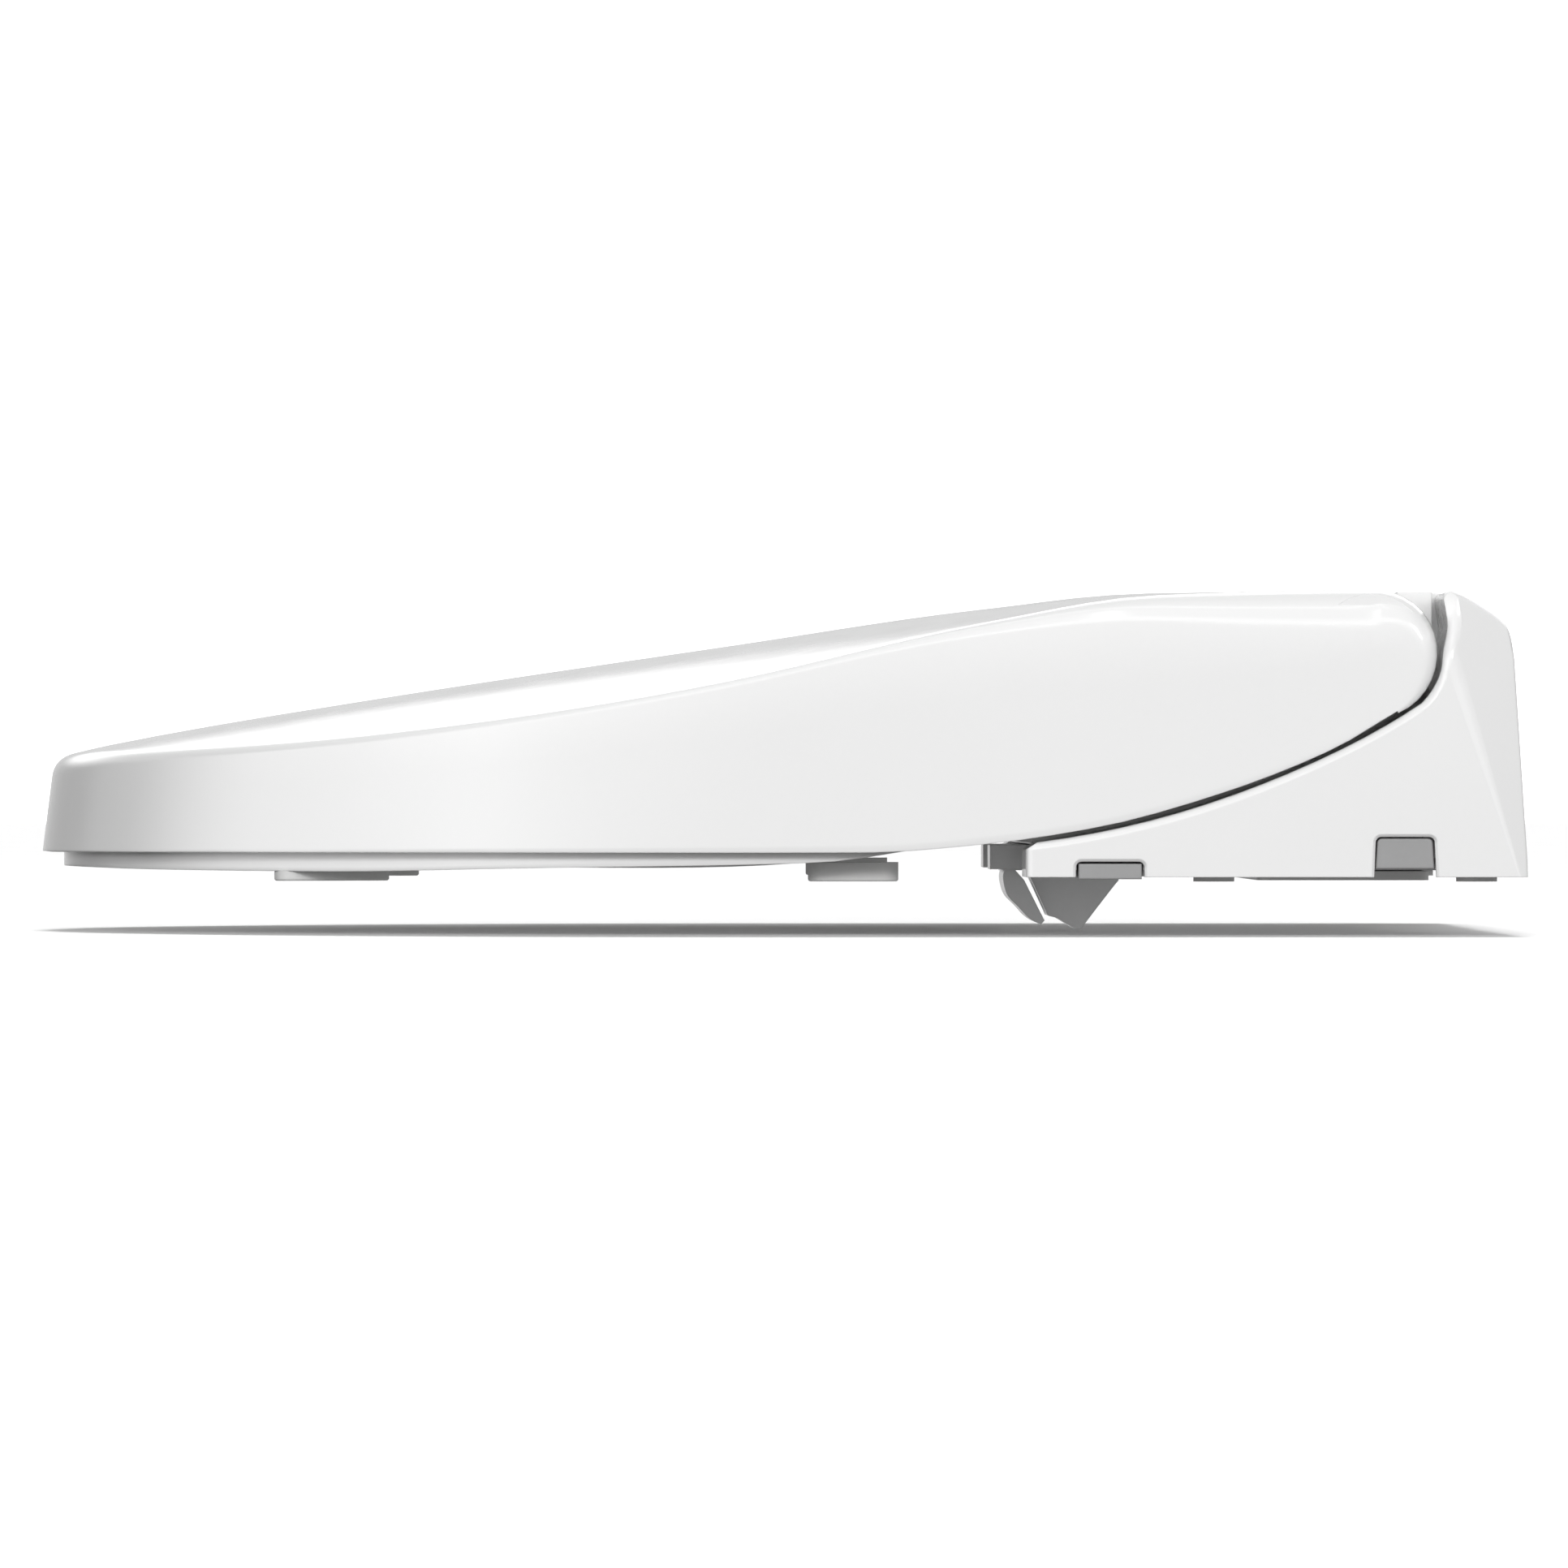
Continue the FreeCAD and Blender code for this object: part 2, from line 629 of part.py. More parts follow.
def side_crease(edge, plane):
    """The long edge where a side panel meets its facet."""
    box = edge.BoundBox
    return abs(edge.CenterOfMass.x - plane) < 0.2 and box.ZLength > 65 and box.YMin > 30


def make_cover():
    """One moulded shell over the whole housing."""
    half = float(cover.cover_half)
    core = float(cover.core_half)
    wall = float(cover.cover_wall)
    low = float(cover.cover_low)
    outer = across(wing_side(0, low), -half, half)
    free = across(wing_side(0, low), -core, core)
    outer = outer.cut(free).fuse(across(core_side(0, low), -core, core))
    inner = across(wing_side(wall, -1.0), -half + wall, half - wall)
    free = across(wing_side(wall, -1.0), -core + wall, core - wall)
    inner = inner.cut(free).fuse(across(core_side(wall, -1.0), -core + wall, core - wall))
    for wedge in rear_facets(0):
        outer = outer.cut(wedge)
    for wedge in rear_facets(wall):
        inner = inner.cut(wedge)
    shell = soften_skirt(soften_hump(outer.removeSplitter())).cut(inner)
    ear = across(ear_side(), core - 0.5, float(seat.arm_outer))
    shell = shell.fuse(both_sides(ear))
    shell = shell.cut(solid_box((-core + 0.4, -112, -5), (core - 0.4, -104.0, float(pan.apron_top) + 0.6)))
    shell = shell.cut(solid_box((-114, 45, -5), (114, 70, 10.6)))
    for sign in (1, -1):
        x_low = core - wall - 2 if sign > 0 else -core - 2
        hole = round_bar(hinge.hinge_y, hinge.hinge_z, float(hinge.shaft_radius) + 1, x_low, x_low + wall + 4)
        shell = shell.cut(hole)
    shell = shell.cut(side_notch(7.2, 28.6, 7.9, 27.8, 15.3))
    shell = shell.cut(side_notch(-94.2, -70.6, -94.0, -70.8, 6.9))
    rims = [edge for edge in side_edges(shell, half) if notch_rim(edge)]
    shell = shell.makeChamfer(float(cover.rim_edge), rims)
    vent = solid_box((float(dryer.vent_x_low), -112, float(dryer.vent_z_low)),
                     (float(dryer.vent_x_high), -92, float(dryer.vent_z_high)))
    shell = shell.cut(vent)
    for spot_x in KEY_PLACES:
        radius = float(aux.key_radius) + float(aux.key_gap)
        shell = shell.cut(Part.makeCylinder(radius, 12, Vector(spot_x, KEY_ROW, 84), Z_AXIS))
    shell = shell.cut(Part.makeCylinder(5.2, 12, Vector(GLAND_X, 52, GLAND_Z), Y_AXIS))
    shell = shell.cut(Part.makeCylinder(3.6, 8, Vector(0, -40, 86), Z_AXIS))
    return shell.removeSplitter()


def notch_rim(edge):
    """The outer edge of either notch on the +X side."""
    box = edge.BoundBox
    button = box.YMin > 7 and box.YMax < 29 and box.ZMax < 16
    cartridge = box.YMin > -95 and box.YMax < -70 and box.ZMax < 7.5
    return edge.CenterOfMass.x > 0 and (button or cartridge)


def side_notch(low_front, low_rear, top_front, top_rear, top):
    """A notch with a rounded top through the skirt on the +X side."""
    face = Part.Face(Part.makePolygon(side([(low_front, -1), (low_rear, -1), (top_rear, top),
                                            (top_front, top), (low_front, -1)])))
    solid = across(face, 180, 195)
    edges = [edge for edge in solid.Edges if edge.BoundBox.XLength > 10 and edge.CenterOfMass.z > top - 1]
    return solid.makeFillet(2.0, edges)


seat_upper, seat_lower = make_seat()
node("lid_shell", coded("lid_shell", make_lid()))
node("seat_top", coded("seat_top", seat_upper))
node("seat_bottom", coded("seat_bottom", seat_lower))
node("rear_cover", coded("rear_cover", make_cover()))


# ---------------------------------------------------------------- mounting plate and base pan
def slot(body, name, middle_x, radius, length, level, depth):
    """Cut a round-ended slot that runs along X."""
    sketch = offset_sketch(body, f"{name}_sketch", "XY_Plane", level)
    reach = length / 2 - radius
    left, right, size = float(middle_x - reach), float(middle_x + reach), float(radius)
    up = Vector(0, 0, 1)
    sketch.addGeometry(Part.LineSegment(Vector(left, -size, 0), Vector(right, -size, 0)), False)
    sketch.addGeometry(Part.ArcOfCircle(Part.Circle(Vector(right, 0, 0), up, size),
                                           -math.pi / 2, math.pi / 2),
                       False)
    sketch.addGeometry(Part.LineSegment(Vector(right, size, 0), Vector(left, size, 0)), False)
    sketch.addGeometry(Part.ArcOfCircle(Part.Circle(Vector(left, 0, 0), up, size),
                                           math.pi / 2, math.pi * 1.5),
                       False)
    for first, first_end, second, second_end in ((0, 2, 1, 1), (1, 2, 2, 1), (2, 2, 3, 1), (3, 2, 0, 1)):
        sketch.addConstraint(Sketcher.Constraint("Tangent", first, first_end, second, second_end))
    for kind, number, arguments in (("Radius", radius, (1,)), ("DistanceX", middle_x + reach, (-1, 1, 1, 3)),
                                    ("DistanceX", middle_x - reach, (-1, 1, 3, 3))):
        made = sketch.addConstraint(Sketcher.Constraint(kind, *arguments, float(number)))
        sketch.setExpression(f"Constraints[{made}]", number.text)
    sketch.addConstraint(Sketcher.Constraint("PointOnObject", 1, 3, -1))
    before = body.Shape.Volume
    feature = body.newObject("PartDesign::Pocket", f"{name}_pocket")
    feature.Profile = sketch
    bind(feature, "Length", depth)
    doc.recompute()
    if body.Shape.Volume >= before:
        raise RuntimeError(f"{name} cuts nothing")


def make_mounting_plate():
    """Flat plate with two bolt slots and two T rails that the housing slides onto."""
    body = padded("mounting_plate", "XY_Plane",
                  rectangle(-plate.plate_half, plate.plate_front, plate.plate_half, plate.plate_rear),
                  0, plate.plate_thick)
    round_edges(body, 5, runs_along(Z_AXIS))
    for index, middle in enumerate((-plate.rail_x, plate.rail_x)):
        pad(body, f"rail_neck{index}", "XY_Plane",
            rectangle(middle - plate.rail_neck, plate.rail_front, middle + plate.rail_neck, plate.rail_rear),
            0, plate.rail_neck_top)
        pad(body, f"rail_head{index}", "XY_Plane",
            rectangle(middle - plate.rail_head, plate.rail_front, middle + plate.rail_head, plate.rail_rear),
            plate.rail_neck_top, plate.rail_top)
    for index, middle in enumerate((-plate.slot_pitch / 2, plate.slot_pitch / 2)):
        slot(body, f"bolt_slot{index}", middle, plate.slot_radius, plate.slot_long, plate.plate_thick,
             plate.plate_thick)
    return node("mounting_plate", body)


def make_base_pan():
    """Tray that carries the works: floor, rim, front apron, rail slots and openings."""
    floor_top = pan.pan_floor + pan.pan_thick
    body = padded("pan_body", "XY_Plane",
                  rectangle(-pan.pan_half, pan.pan_front, pan.pan_half, pan.pan_rear),
                  pan.pan_floor, floor_top)
    round_edges(body, 9, lambda edge: runs_along(Z_AXIS)(edge) and edge.CenterOfMass.y > 0)
    rim = 2.2
    pad(body, "front_rim", "XY_Plane",
        rectangle(-136, pan.apron_rear, 136, pan.pan_front + rim), pan.pan_floor, pan.apron_top)
    for index, sign in enumerate((1, -1)):
        inner, outer = sorted((sign * (pan.pan_half - rim), sign * pan.pan_half), key=float)
        pad(body, f"side_rim{index}", "XY_Plane",
            rectangle(inner, pan.pan_front, outer, pan.pan_rear - 12), pan.pan_floor, pan.pan_rim)
        inner, outer = sorted((sign * pan.apron_gap, sign * pan.apron_half), key=float)
        pad(body, f"apron{index}", "XY_Plane",
            rectangle(inner, pan.apron_front, outer, pan.apron_rear + 1), pan.apron_low, pan.apron_top)
        middle = sign * plate.rail_x
        half_slot = plate.rail_neck + plate.slide_gap
        pocket(body, f"rail_slot{index}", "XY_Plane",
               rectangle(middle - half_slot, plate.rail_front - 1.5, middle + half_slot, pan.pan_rear + 1),
               floor_top, pan.pan_thick)
    pocket(body, "filter_bay", "XY_Plane",
           rectangle(filters.cartridge_inner - 1, filters.cartridge_front - filters.bay_gap,
                     pan.pan_half + 1, filters.cartridge_rear + filters.bay_gap),
           pan.pan_rim + 1, pan.pan_rim)
    for index, (front, rear) in enumerate((
            (filters.cartridge_front - filters.bay_gap - 2, filters.cartridge_front - filters.bay_gap),
            (filters.cartridge_rear + filters.bay_gap, filters.cartridge_rear + filters.bay_gap + 2))):
        pad(body, f"bay_wall{index}", "XY_Plane",
            rectangle(filters.cartridge_inner - 1, front, pan.pan_half - 4, rear), 1.8, 8.8)
    pocket(body, "latch_gap", "XY_Plane",
           rectangle(pan.pan_half - 10, button.button_front - 0.6, pan.pan_half + 1,
                     button.button_rear + 0.6),
           pan.pan_rim + 1, pan.pan_rim)
    tunnel = rod("wand_tunnel", "y", (0, 0, 0), wand.wand_radius + 1.4, 60)
    tilt(tunnel, 0, -10, 0)
    slot_way = block("rack_way", (-wand.rack_half - 1, 0, 0), (wand.rack_half + 1, 60, 11))
    tilt(slot_way, -wand.rack_half - 1, -10, 0)
    mouth = rod("inlet_mouth", "z", (inlet.inlet_x, inlet.inlet_y, 0), inlet.inlet_clear, 12)
    fixed = cut("base_pan", body, tunnel, slot_way, mouth)
    hood = cut("inlet_hood", rod("hood_outer", "z", (inlet.inlet_x, inlet.inlet_y, floor_top),
                                 inlet.inlet_clear + 2, 13),
               rod("hood_inner", "z", (inlet.inlet_x, inlet.inlet_y, floor_top), inlet.inlet_clear, 11),
               rod("hood_hole", "z", (inlet.inlet_x, inlet.inlet_y, floor_top), inlet.inlet_radius + 0.1, 14))
    return node("base_pan", fuse("base_pan_whole", fixed, hood))


WAND_TURN = Rotation(X_AXIS, float(wand.wand_tilt))


def tilt(item, x, y, z):
    """Move an object from the wand's own frame, with its mouth as origin, to the seat's frame."""
    turn = WAND_TURN.multiply(item.Placement.Rotation)
    item.setExpression("Placement.Base.x", None)
    item.setExpression("Placement.Base.y", None)
    item.setExpression("Placement.Base.z", None)
    item.Placement = FreeCAD.Placement(item.Placement.Base, turn)
    cosine = f"cos(({wand.wand_tilt.text}) * 1 deg)"
    sine = f"sin(({wand.wand_tilt.text}) * 1 deg)"
    item.setExpression("Placement.Base.x", words(x))
    item.setExpression("Placement.Base.y",
                       f"{wand.mouth_y.text} + {words(y)} * {cosine} - {words(z)} * {sine}")
    item.setExpression("Placement.Base.z",
                       f"{wand.mouth_z.text} + {words(y)} * {sine} + {words(z)} * {cosine}")
    return item


def tilt_body(body):
    """Tilt a whole PartDesign body or boolean about the mouth."""
    return tilt(body, 0, 0, 0)


# ---------------------------------------------------------------- wand, its drive, guard and gate
TEETH_ON_PINION = 12
RACK_TEETH = 22


def tooth_outline(middle, line_level, way):
    """One straight-sided rack tooth on a pitch line, pointing up or down."""
    root = line_level - way * (wand.tooth_high + 0.4)
    tip = line_level + way * wand.tooth_high
    return [(middle - wand.tooth_base, root), (middle + wand.tooth_base, root),
            (middle + wand.tooth_tip, tip), (middle - wand.tooth_tip, tip)]


def make_wand():
    """Round wand with a toothed rack along its back and three jets near its tip."""
    tube = rod("wand_tube", "y", (0, wand.wand_tip, 0), wand.wand_radius, wand.wand_end - wand.wand_tip)
    bar = block("rack_bar", (-wand.rack_half, wand.pinion_y - 4, wand.wand_radius - 1.2),
                (wand.rack_half, wand.wand_end, wand.pitch_line - wand.tooth_high - 0.2))
    pitch = 2 * math.pi * float(wand.pitch_radius) / TEETH_ON_PINION
    teeth = []
    for index in range(RACK_TEETH):
        # The pinion's lowest tooth stands in the gap between the first two.
        middle = wand.pinion_y + (index - 0.5) * pitch
        outline = tooth_outline(middle, wand.pitch_line, 1)
        teeth.append(padded(f"rack_tooth{index}", "YZ_Plane", outline, -wand.rack_half, wand.rack_half))
    jets = [rod(f"jet{index}", "z", (0, wand.wand_tip + 6 + index * 4, 0), 0.7, 10) for index in range(3)]
    channel = rod("wand_bore", "y", (0, wand.wand_tip + 4, 0), 1.6, wand.wand_end)
    whole = cut("wand", fuse("wand_solid", tube, bar, *teeth), *jets, channel)
    return node("nozzle_wand", tilt_body(whole))


def make_pinion():
    """Twelve-tooth pinion on a short shaft, in mesh with the wand's rack."""
    body = new_body("pinion_body")
    root = wand.pitch_radius - wand.tooth_high - 0.2
    hub = offset_sketch(body, "pinion_hub", "YZ_Plane", -2.6)
    circle = hub.addGeometry(Part.Circle(Vector(0, 0, 0), Z_AXIS, float(root)), False)
    hub.addConstraint(Sketcher.Constraint("Coincident", circle, 3, -1, 1))
    made = hub.addConstraint(Sketcher.Constraint("Radius", circle, float(root)))
    hub.setExpression(f"Constraints[{made}]", root.text)
    disc = body.newObject("PartDesign::Pad", "pinion_disc")
    disc.Profile = hub
    bind(disc, "Length", 5.2)
    doc.recompute()
    outline = [(up, along) for along, up in tooth_outline(0, wand.pitch_radius, 1)]
    tooth = pad(body, "pinion_tooth", "YZ_Plane", outline, -2.6, 2.6)
    ring = body.newObject("PartDesign::PolarPattern", "pinion_teeth")
    ring.Originals = [tooth]
    ring.Axis = (origin_plane(body, "X_Axis"), [""])
    ring.Angle = 360
    ring.Occurrences = TEETH_ON_PINION
    body.Tip = ring
    doc.recompute()
    shaft = rod("pinion_shaft", "x", (-3.5, 0, 0), 1.5, 12)
    whole = fuse("pinion_whole", body, shaft)
    turned = tilt(whole, 0, wand.pinion_y, wand.pitch_line + wand.pitch_radius)
    return node("drive_pinion", turned)


def make_guide():
    """Open-topped channel that holds the wand, with an ear for the drive motor."""
    channel = block("guide_block", (-wand.guide_half, wand.guide_front, wand.guide_low),
                    (wand.guide_half, wand.guide_rear, wand.guide_top))
    bore = rod("guide_bore", "y", (0, wand.guide_front - 1, 0), wand.wand_radius + 0.08, 90)
    way = block("guide_way", (-4.2, wand.guide_front - 1, 0), (4.2, wand.guide_rear + 1, 10))
    ear = block("motor_ear", (4.6, wand.pinion_y - 10, wand.guide_top - 4),
                (7.0, wand.pinion_y + 10, wand.pitch_line + 16))
    hole = rod("ear_hole", "x", (4, wand.pinion_y, wand.pitch_line + wand.pitch_radius), 2.0, 5)
    foot = block("guide_foot", (-wand.guide_half - 5, wand.guide_front + 8, wand.guide_low),
                 (wand.guide_half + 5, wand.guide_rear - 8, wand.guide_low + 3))
    whole = cut("guide", fuse("guide_solid", channel, foot, ear), bore, way, hole)
    return node("nozzle_guide", tilt_body(whole))


def make_wand_motor():
    """Small geared motor beside the guide, with its bore round the pinion's shaft."""
    can = rod("wand_motor_can", "x", (7.0, 0, 0), 9.5, 20)
    bore = rod("wand_motor_bore", "x", (6, 0, 0), 1.5 + hinge.running_gap, 4)
    whole = cut("wand_motor", can, bore)
    return node("nozzle_motor", tilt(whole, 0, wand.pinion_y, wand.pitch_line + wand.pitch_radius))


def make_guard():
    """Wedge below the pan that shields the wand's mouth."""
    outline = [(-105.3, 3.6), (-104.6, 0.2), (-98.4, -13.4), (-95.0, -14.3), (-88.6, -18.2), (-86.6, -18.2),
               (-84.9, -16.0), (-75.6, -3.9), (-73.0, -0.7), (-73.0, 3.6)]
    body = padded("guard_body", "YZ_Plane", outline, -gate.guard_half, gate.guard_half)
    round_edges(body, 0.8, lambda edge: runs_along(X_AXIS)(edge) and edge.CenterOfMass.z < -3)
    tunnel = rod("guard_tunnel", "y", (0, 0, 0), wand.wand_radius + 0.8, 70)
    tilt(tunnel, 0, -10, 0)
    way = block("guard_way", (-wand.rack_half - 1, 0, 0), (wand.rack_half + 1, 70, 11))
    tilt(way, -wand.rack_half - 1, -10, 0)
    return node("nozzle_guard", cut("guard", body, tunnel, way))


GATE_OUTER = ((-112.9, 4.6), (-114.7, 1.6), (-114.4, -2.4), (-112.9, -6.4), (-109.5, -9.9), (-106.6, -13.1),
              (-103.9, -15.2), (-101.0, -16.3))
GATE_INNER = ((-99.9, -15.0), (-102.9, -13.6), (-105.4, -11.4), (-108.0, -8.6), (-111.1, -5.0),
              (-112.5, -1.9), (-112.8, 1.2), (-111.4, 4.2))


def make_gate():
    """Curved flap over the wand's mouth, hung on a pin, with closed cheeks at its sides."""
    half = float(gate.gate_half)
    outer = side(GATE_OUTER)
    inner = side(GATE_INNER)
    shell = across(chain(outer, inner), -half, half)
    cheek_face = chain(outer, side([GATE_OUTER[-1], GATE_INNER[0]]), side([GATE_INNER[0], (-107.2, -0.5)]),
                       side([(-107.2, -0.5), (-111.4, 4.2)]))
    for low in (-half, half - 1.4):
        shell = shell.fuse(across(cheek_face, low, low + 1.4))
    knuckle_radius = 2.4
    for low in (-half, half - 6):
        knuckle = round_bar(gate.gate_hinge_y, gate.gate_hinge_z, knuckle_radius, low, low + 6)
        neck_face = Part.Face(Part.makePolygon(side([(-113.9, 6.2), (-110.6, 5.6),
                                                (-110.9, 3.6), (-113.6, 3.0),
                                                     (-113.9, 6.2)])))
        shell = shell.fuse([knuckle, across(neck_face, low, low + 6)])
    pin_hole = round_bar(gate.gate_hinge_y, gate.gate_hinge_z, 1.3, -half - 1, half + 1)
    return node("nozzle_gate", coded("nozzle_gate", shell.cut(pin_hole).removeSplitter()))


def make_gate_pin():
    """Steel pin that hangs the gate between the two apron blocks."""
    pin = rod("gate_pin", "x", (-pan.apron_gap - 6, gate.gate_hinge_y, gate.gate_hinge_z), 1.25,
              2 * pan.apron_gap + 12)
    return node("gate_pin", pin)


# ---------------------------------------------------------------- hinge line
def make_hinge_line():
    """Dampers in the core, and the two shafts that carry the seat and the lid."""
    line_y, line_z = hinge.hinge_y, hinge.hinge_z
    long_damper = 34.0
    for label, sign in (("lid_damper", 1), ("seat_damper", -1)):
        start = 102.5 if sign > 0 else -102.5 - long_damper
        can = rod(f"{label}_can", "x", (start, line_y, line_z), 10.4, long_damper)
        flat = block(f"{label}_foot", (start, line_y - 10.4, line_z - 16),
                     (start + long_damper, line_y - 4, line_z))
        bore_start = start + 10 if sign > 0 else start - 1
        bore = rod(f"{label}_bore", "x", (bore_start, line_y, line_z),
                   hinge.shaft_radius + hinge.running_gap, 25)
        node(label, cut(label, fuse(f"{label}_solid", can, flat), bore))
    node("lid_hinge_shaft", rod("lid_shaft", "x", (114.0, line_y, line_z), hinge.shaft_radius, 64.0))
    node("seat_hinge_shaft", rod("seat_shaft", "x", (-178.0, line_y, line_z), hinge.shaft_radius, 64.0))
    bush_radius = 8.0
    outer_bush = rod("seat_bush_ring", "x", (seat.arm_inner, line_y, line_z), bush_radius,
                     seat.arm_outer - seat.arm_inner)
    running = cut("running_bush", outer_bush,
                  rod("running_bore", "x", (141, line_y, line_z), hinge.shaft_radius + hinge.running_gap, 20))
    keyed = cut("keyed_bush", rod("keyed_ring", "x", (-seat.arm_outer, line_y, line_z), bush_radius,
                                  seat.arm_outer - seat.arm_inner),
                rod("keyed_bore", "x", (-160, line_y, line_z), hinge.shaft_radius, 20))
    node("seat_hinge_bushes", group("seat_bushes", running, keyed))
    lid_bush = cut("lid_bush", rod("lid_bush_ring", "x", (-lid.boss_inner - 20, line_y, line_z), 7.0, 20),
                   rod("lid_bush_bore", "x", (-lid.boss_inner - 21, line_y, line_z),
                       hinge.shaft_radius + hinge.running_gap, 22))
    node("lid_hinge_bush", lid_bush)


# ---------------------------------------------------------------- water, heat, air and electrics
def make_water_works():
    """Inlet, valve, pump and heater, from the supply to the wand's guide."""
    spigot = rod("inlet_spigot", "z", (inlet.inlet_x, inlet.inlet_y, inlet.inlet_low), inlet.inlet_radius,
                 inlet.inlet_shoulder - inlet.inlet_low)
    # The thread ends below the hood's roof: above it the spigot is relieved to a slimmer neck.
    relief = rod("inlet_relief", "z", (inlet.inlet_x, inlet.inlet_y, inlet.inlet_shoulder), inlet.inlet_neck,
                 inlet.inlet_top - inlet.inlet_shoulder)
    flange = rod("inlet_flange", "z", (inlet.inlet_x, inlet.inlet_y, 19.6), 15.5, 3.0)
    bore = rod("inlet_bore", "z", (inlet.inlet_x, inlet.inlet_y, 0), inlet.inlet_bore, 22)
    node("inlet_connector", cut("inlet_connector", fuse("inlet_solid", spigot, relief, flange), bore))
    screen = cut("inlet_filter", rod("screen_outer", "z", (inlet.inlet_x, inlet.inlet_y, 5.0),
                                     inlet.inlet_bore - 0.1, 14.0),
                 rod("screen_inner", "z", (inlet.inlet_x, inlet.inlet_y, 4.0), inlet.inlet_bore - 1.6, 13.0))
    node("inlet_filter", screen)
    valve = fuse("valve_solid", rod("valve_coil", "x", (-176.0, -4.0, 20.0), 8.5, 26.0),
                 block("valve_block", (-150.5, -12.0, 10.0), (-141.0, 6.0, 27.0)))
    node("solenoid_valve", valve)
    pump = fuse("pump_solid", rod("pump_can", "x", (-92.0, 32.0, 30.0), 13.0, 30.0),
                rod("pump_head", "x", (-112.0, 32.0, 30.0), 15.5, 20.5))
    node("water_pump", pump)
    node("water_heater", casing("water_heater", (-118.0, -78.0, 12.0), (-44.0, -22.0, 66.0), 9.0))


def make_air_works():
    """Warm-air blower: volute, wheel and motor, with a duct to the vent and its flap."""
    centre = (blower.fan_x, blower.fan_y, blower.fan_z)
    drum = rod("volute_drum", "x", centre, blower.volute_radius, blower.fan_wide + 4)
    hollow = rod("volute_hollow", "x", (blower.fan_x + blower.volute_wall, blower.fan_y, blower.fan_z),
                 blower.volute_radius - blower.volute_wall, blower.fan_wide + 4 - 2 * blower.volute_wall)
    throat = block("volute_throat", (blower.fan_x, blower.fan_y - 40, blower.fan_z - blower.volute_radius),
                   (blower.fan_x + blower.fan_wide + 4, blower.fan_y, blower.fan_z - 6))
    throat_hollow = block("throat_hollow", (blower.fan_x + 2, blower.fan_y - 41, blower.fan_z - 23),
                          (blower.fan_x + blower.fan_wide + 2, blower.fan_y, blower.fan_z - 8))
    eye = rod("volute_eye", "x", (blower.fan_x - 1, blower.fan_y, blower.fan_z), 10.0, 4)
    rear_hole = rod("volute_shaft_hole", "x", (blower.fan_x + 20, blower.fan_y, blower.fan_z), 2.2, 10)
    housing = cut("volute", fuse("volute_solid", drum, throat), hollow, throat_hollow, eye, rear_hole)
    node("blower_housing", housing)
    body = new_body("blower_wheel")
    back = offset_sketch(body, "wheel_back", "YZ_Plane", 16.0)
    circle = back.addGeometry(Part.Circle(Vector(0, 0, 0), Z_AXIS, float(blower.fan_radius)), False)
    back.addConstraint(Sketcher.Constraint("Coincident", circle, 3, -1, 1))
    made = back.addConstraint(Sketcher.Constraint("Radius", circle, float(blower.fan_radius)))
    back.setExpression(f"Constraints[{made}]", blower.fan_radius.text)
    disc = body.newObject("PartDesign::Pad", "wheel_disc")
    disc.Profile = back
    bind(disc, "Length", 2.0)
    doc.recompute()
    blade = pad(body, "wheel_blade", "YZ_Plane",
                [(11.0, -1.2), (11.6, -2.0), (blower.fan_radius - 0.6, 1.4), (blower.fan_radius - 1.2, 2.4)],
                0.0, 16.5)
    ring = body.newObject("PartDesign::PolarPattern", "wheel_blades")
    ring.Originals = [blade]
    ring.Axis = (origin_plane(body, "X_Axis"), [""])
    ring.Angle = 360
    ring.Occurrences = 16
    body.Tip = ring
    doc.recompute()
    wheel = fuse("wheel_solid", body, rod("wheel_shaft", "x", (6.0, 0, 0), 2.0, 28.0))
    place(wheel, (blower.fan_x + 3.5, blower.fan_y, blower.fan_z))
    node("blower_impeller", wheel)
    can = rod("fan_motor_can", "x", (blower.fan_x + blower.fan_wide + 4.2, blower.fan_y, blower.fan_z),
              blower.fan_motor_radius, 14.0)
    shaft_bore = rod("fan_motor_bore", "x", (blower.fan_x + blower.fan_wide + 3, blower.fan_y, blower.fan_z),
                     2.0 + hinge.running_gap, 13.0)
    node("blower_motor", cut("fan_motor", can, shaft_bore))
    duct = cut("duct", block("duct_outer", (dryer.vent_x_low - 1, -97.6, dryer.vent_z_low - 1.6),
                             (dryer.vent_x_high + 1, blower.fan_y - 40.3, dryer.vent_z_high + 1.6)),
               block("duct_inner", (dryer.vent_x_low + 0.6, -100.0, dryer.vent_z_low),
                     (dryer.vent_x_high - 0.6, blower.fan_y - 40, dryer.vent_z_high)))
    node("dryer_duct", duct)
    node("dryer_flap", coded("dryer_flap", make_flap()))


def front_wall(up):
    """Where the core's front wall stands at a height, on its outer face."""
    return -107.7 + (up - 13.0) * (107.7 - 100.5) / (42.0 - 13.0)


def make_flap():
    """Thin flap in the warm-air vent, in the slope of the front wall, hung at its top edge."""
    gap = float(dryer.flap_gap)
    low = float(dryer.vent_z_low) + gap
    top = float(dryer.vent_z_high) - gap - 1.2
    thick = float(dryer.flap_thick)
    face = Part.Face(Part.makePolygon(side([(front_wall(low), low), (front_wall(top), top),
                                            (front_wall(top) + thick, top), (front_wall(low) + thick, low),
                                            (front_wall(low), low)])))
    x_low = float(dryer.vent_x_low) + gap
    x_high = float(dryer.vent_x_high) - gap
    barrel = round_bar(front_wall(top) + thick / 2, top, 1.2, x_low, x_high)
    return across(face, x_low, x_high).fuse(barrel).removeSplitter()


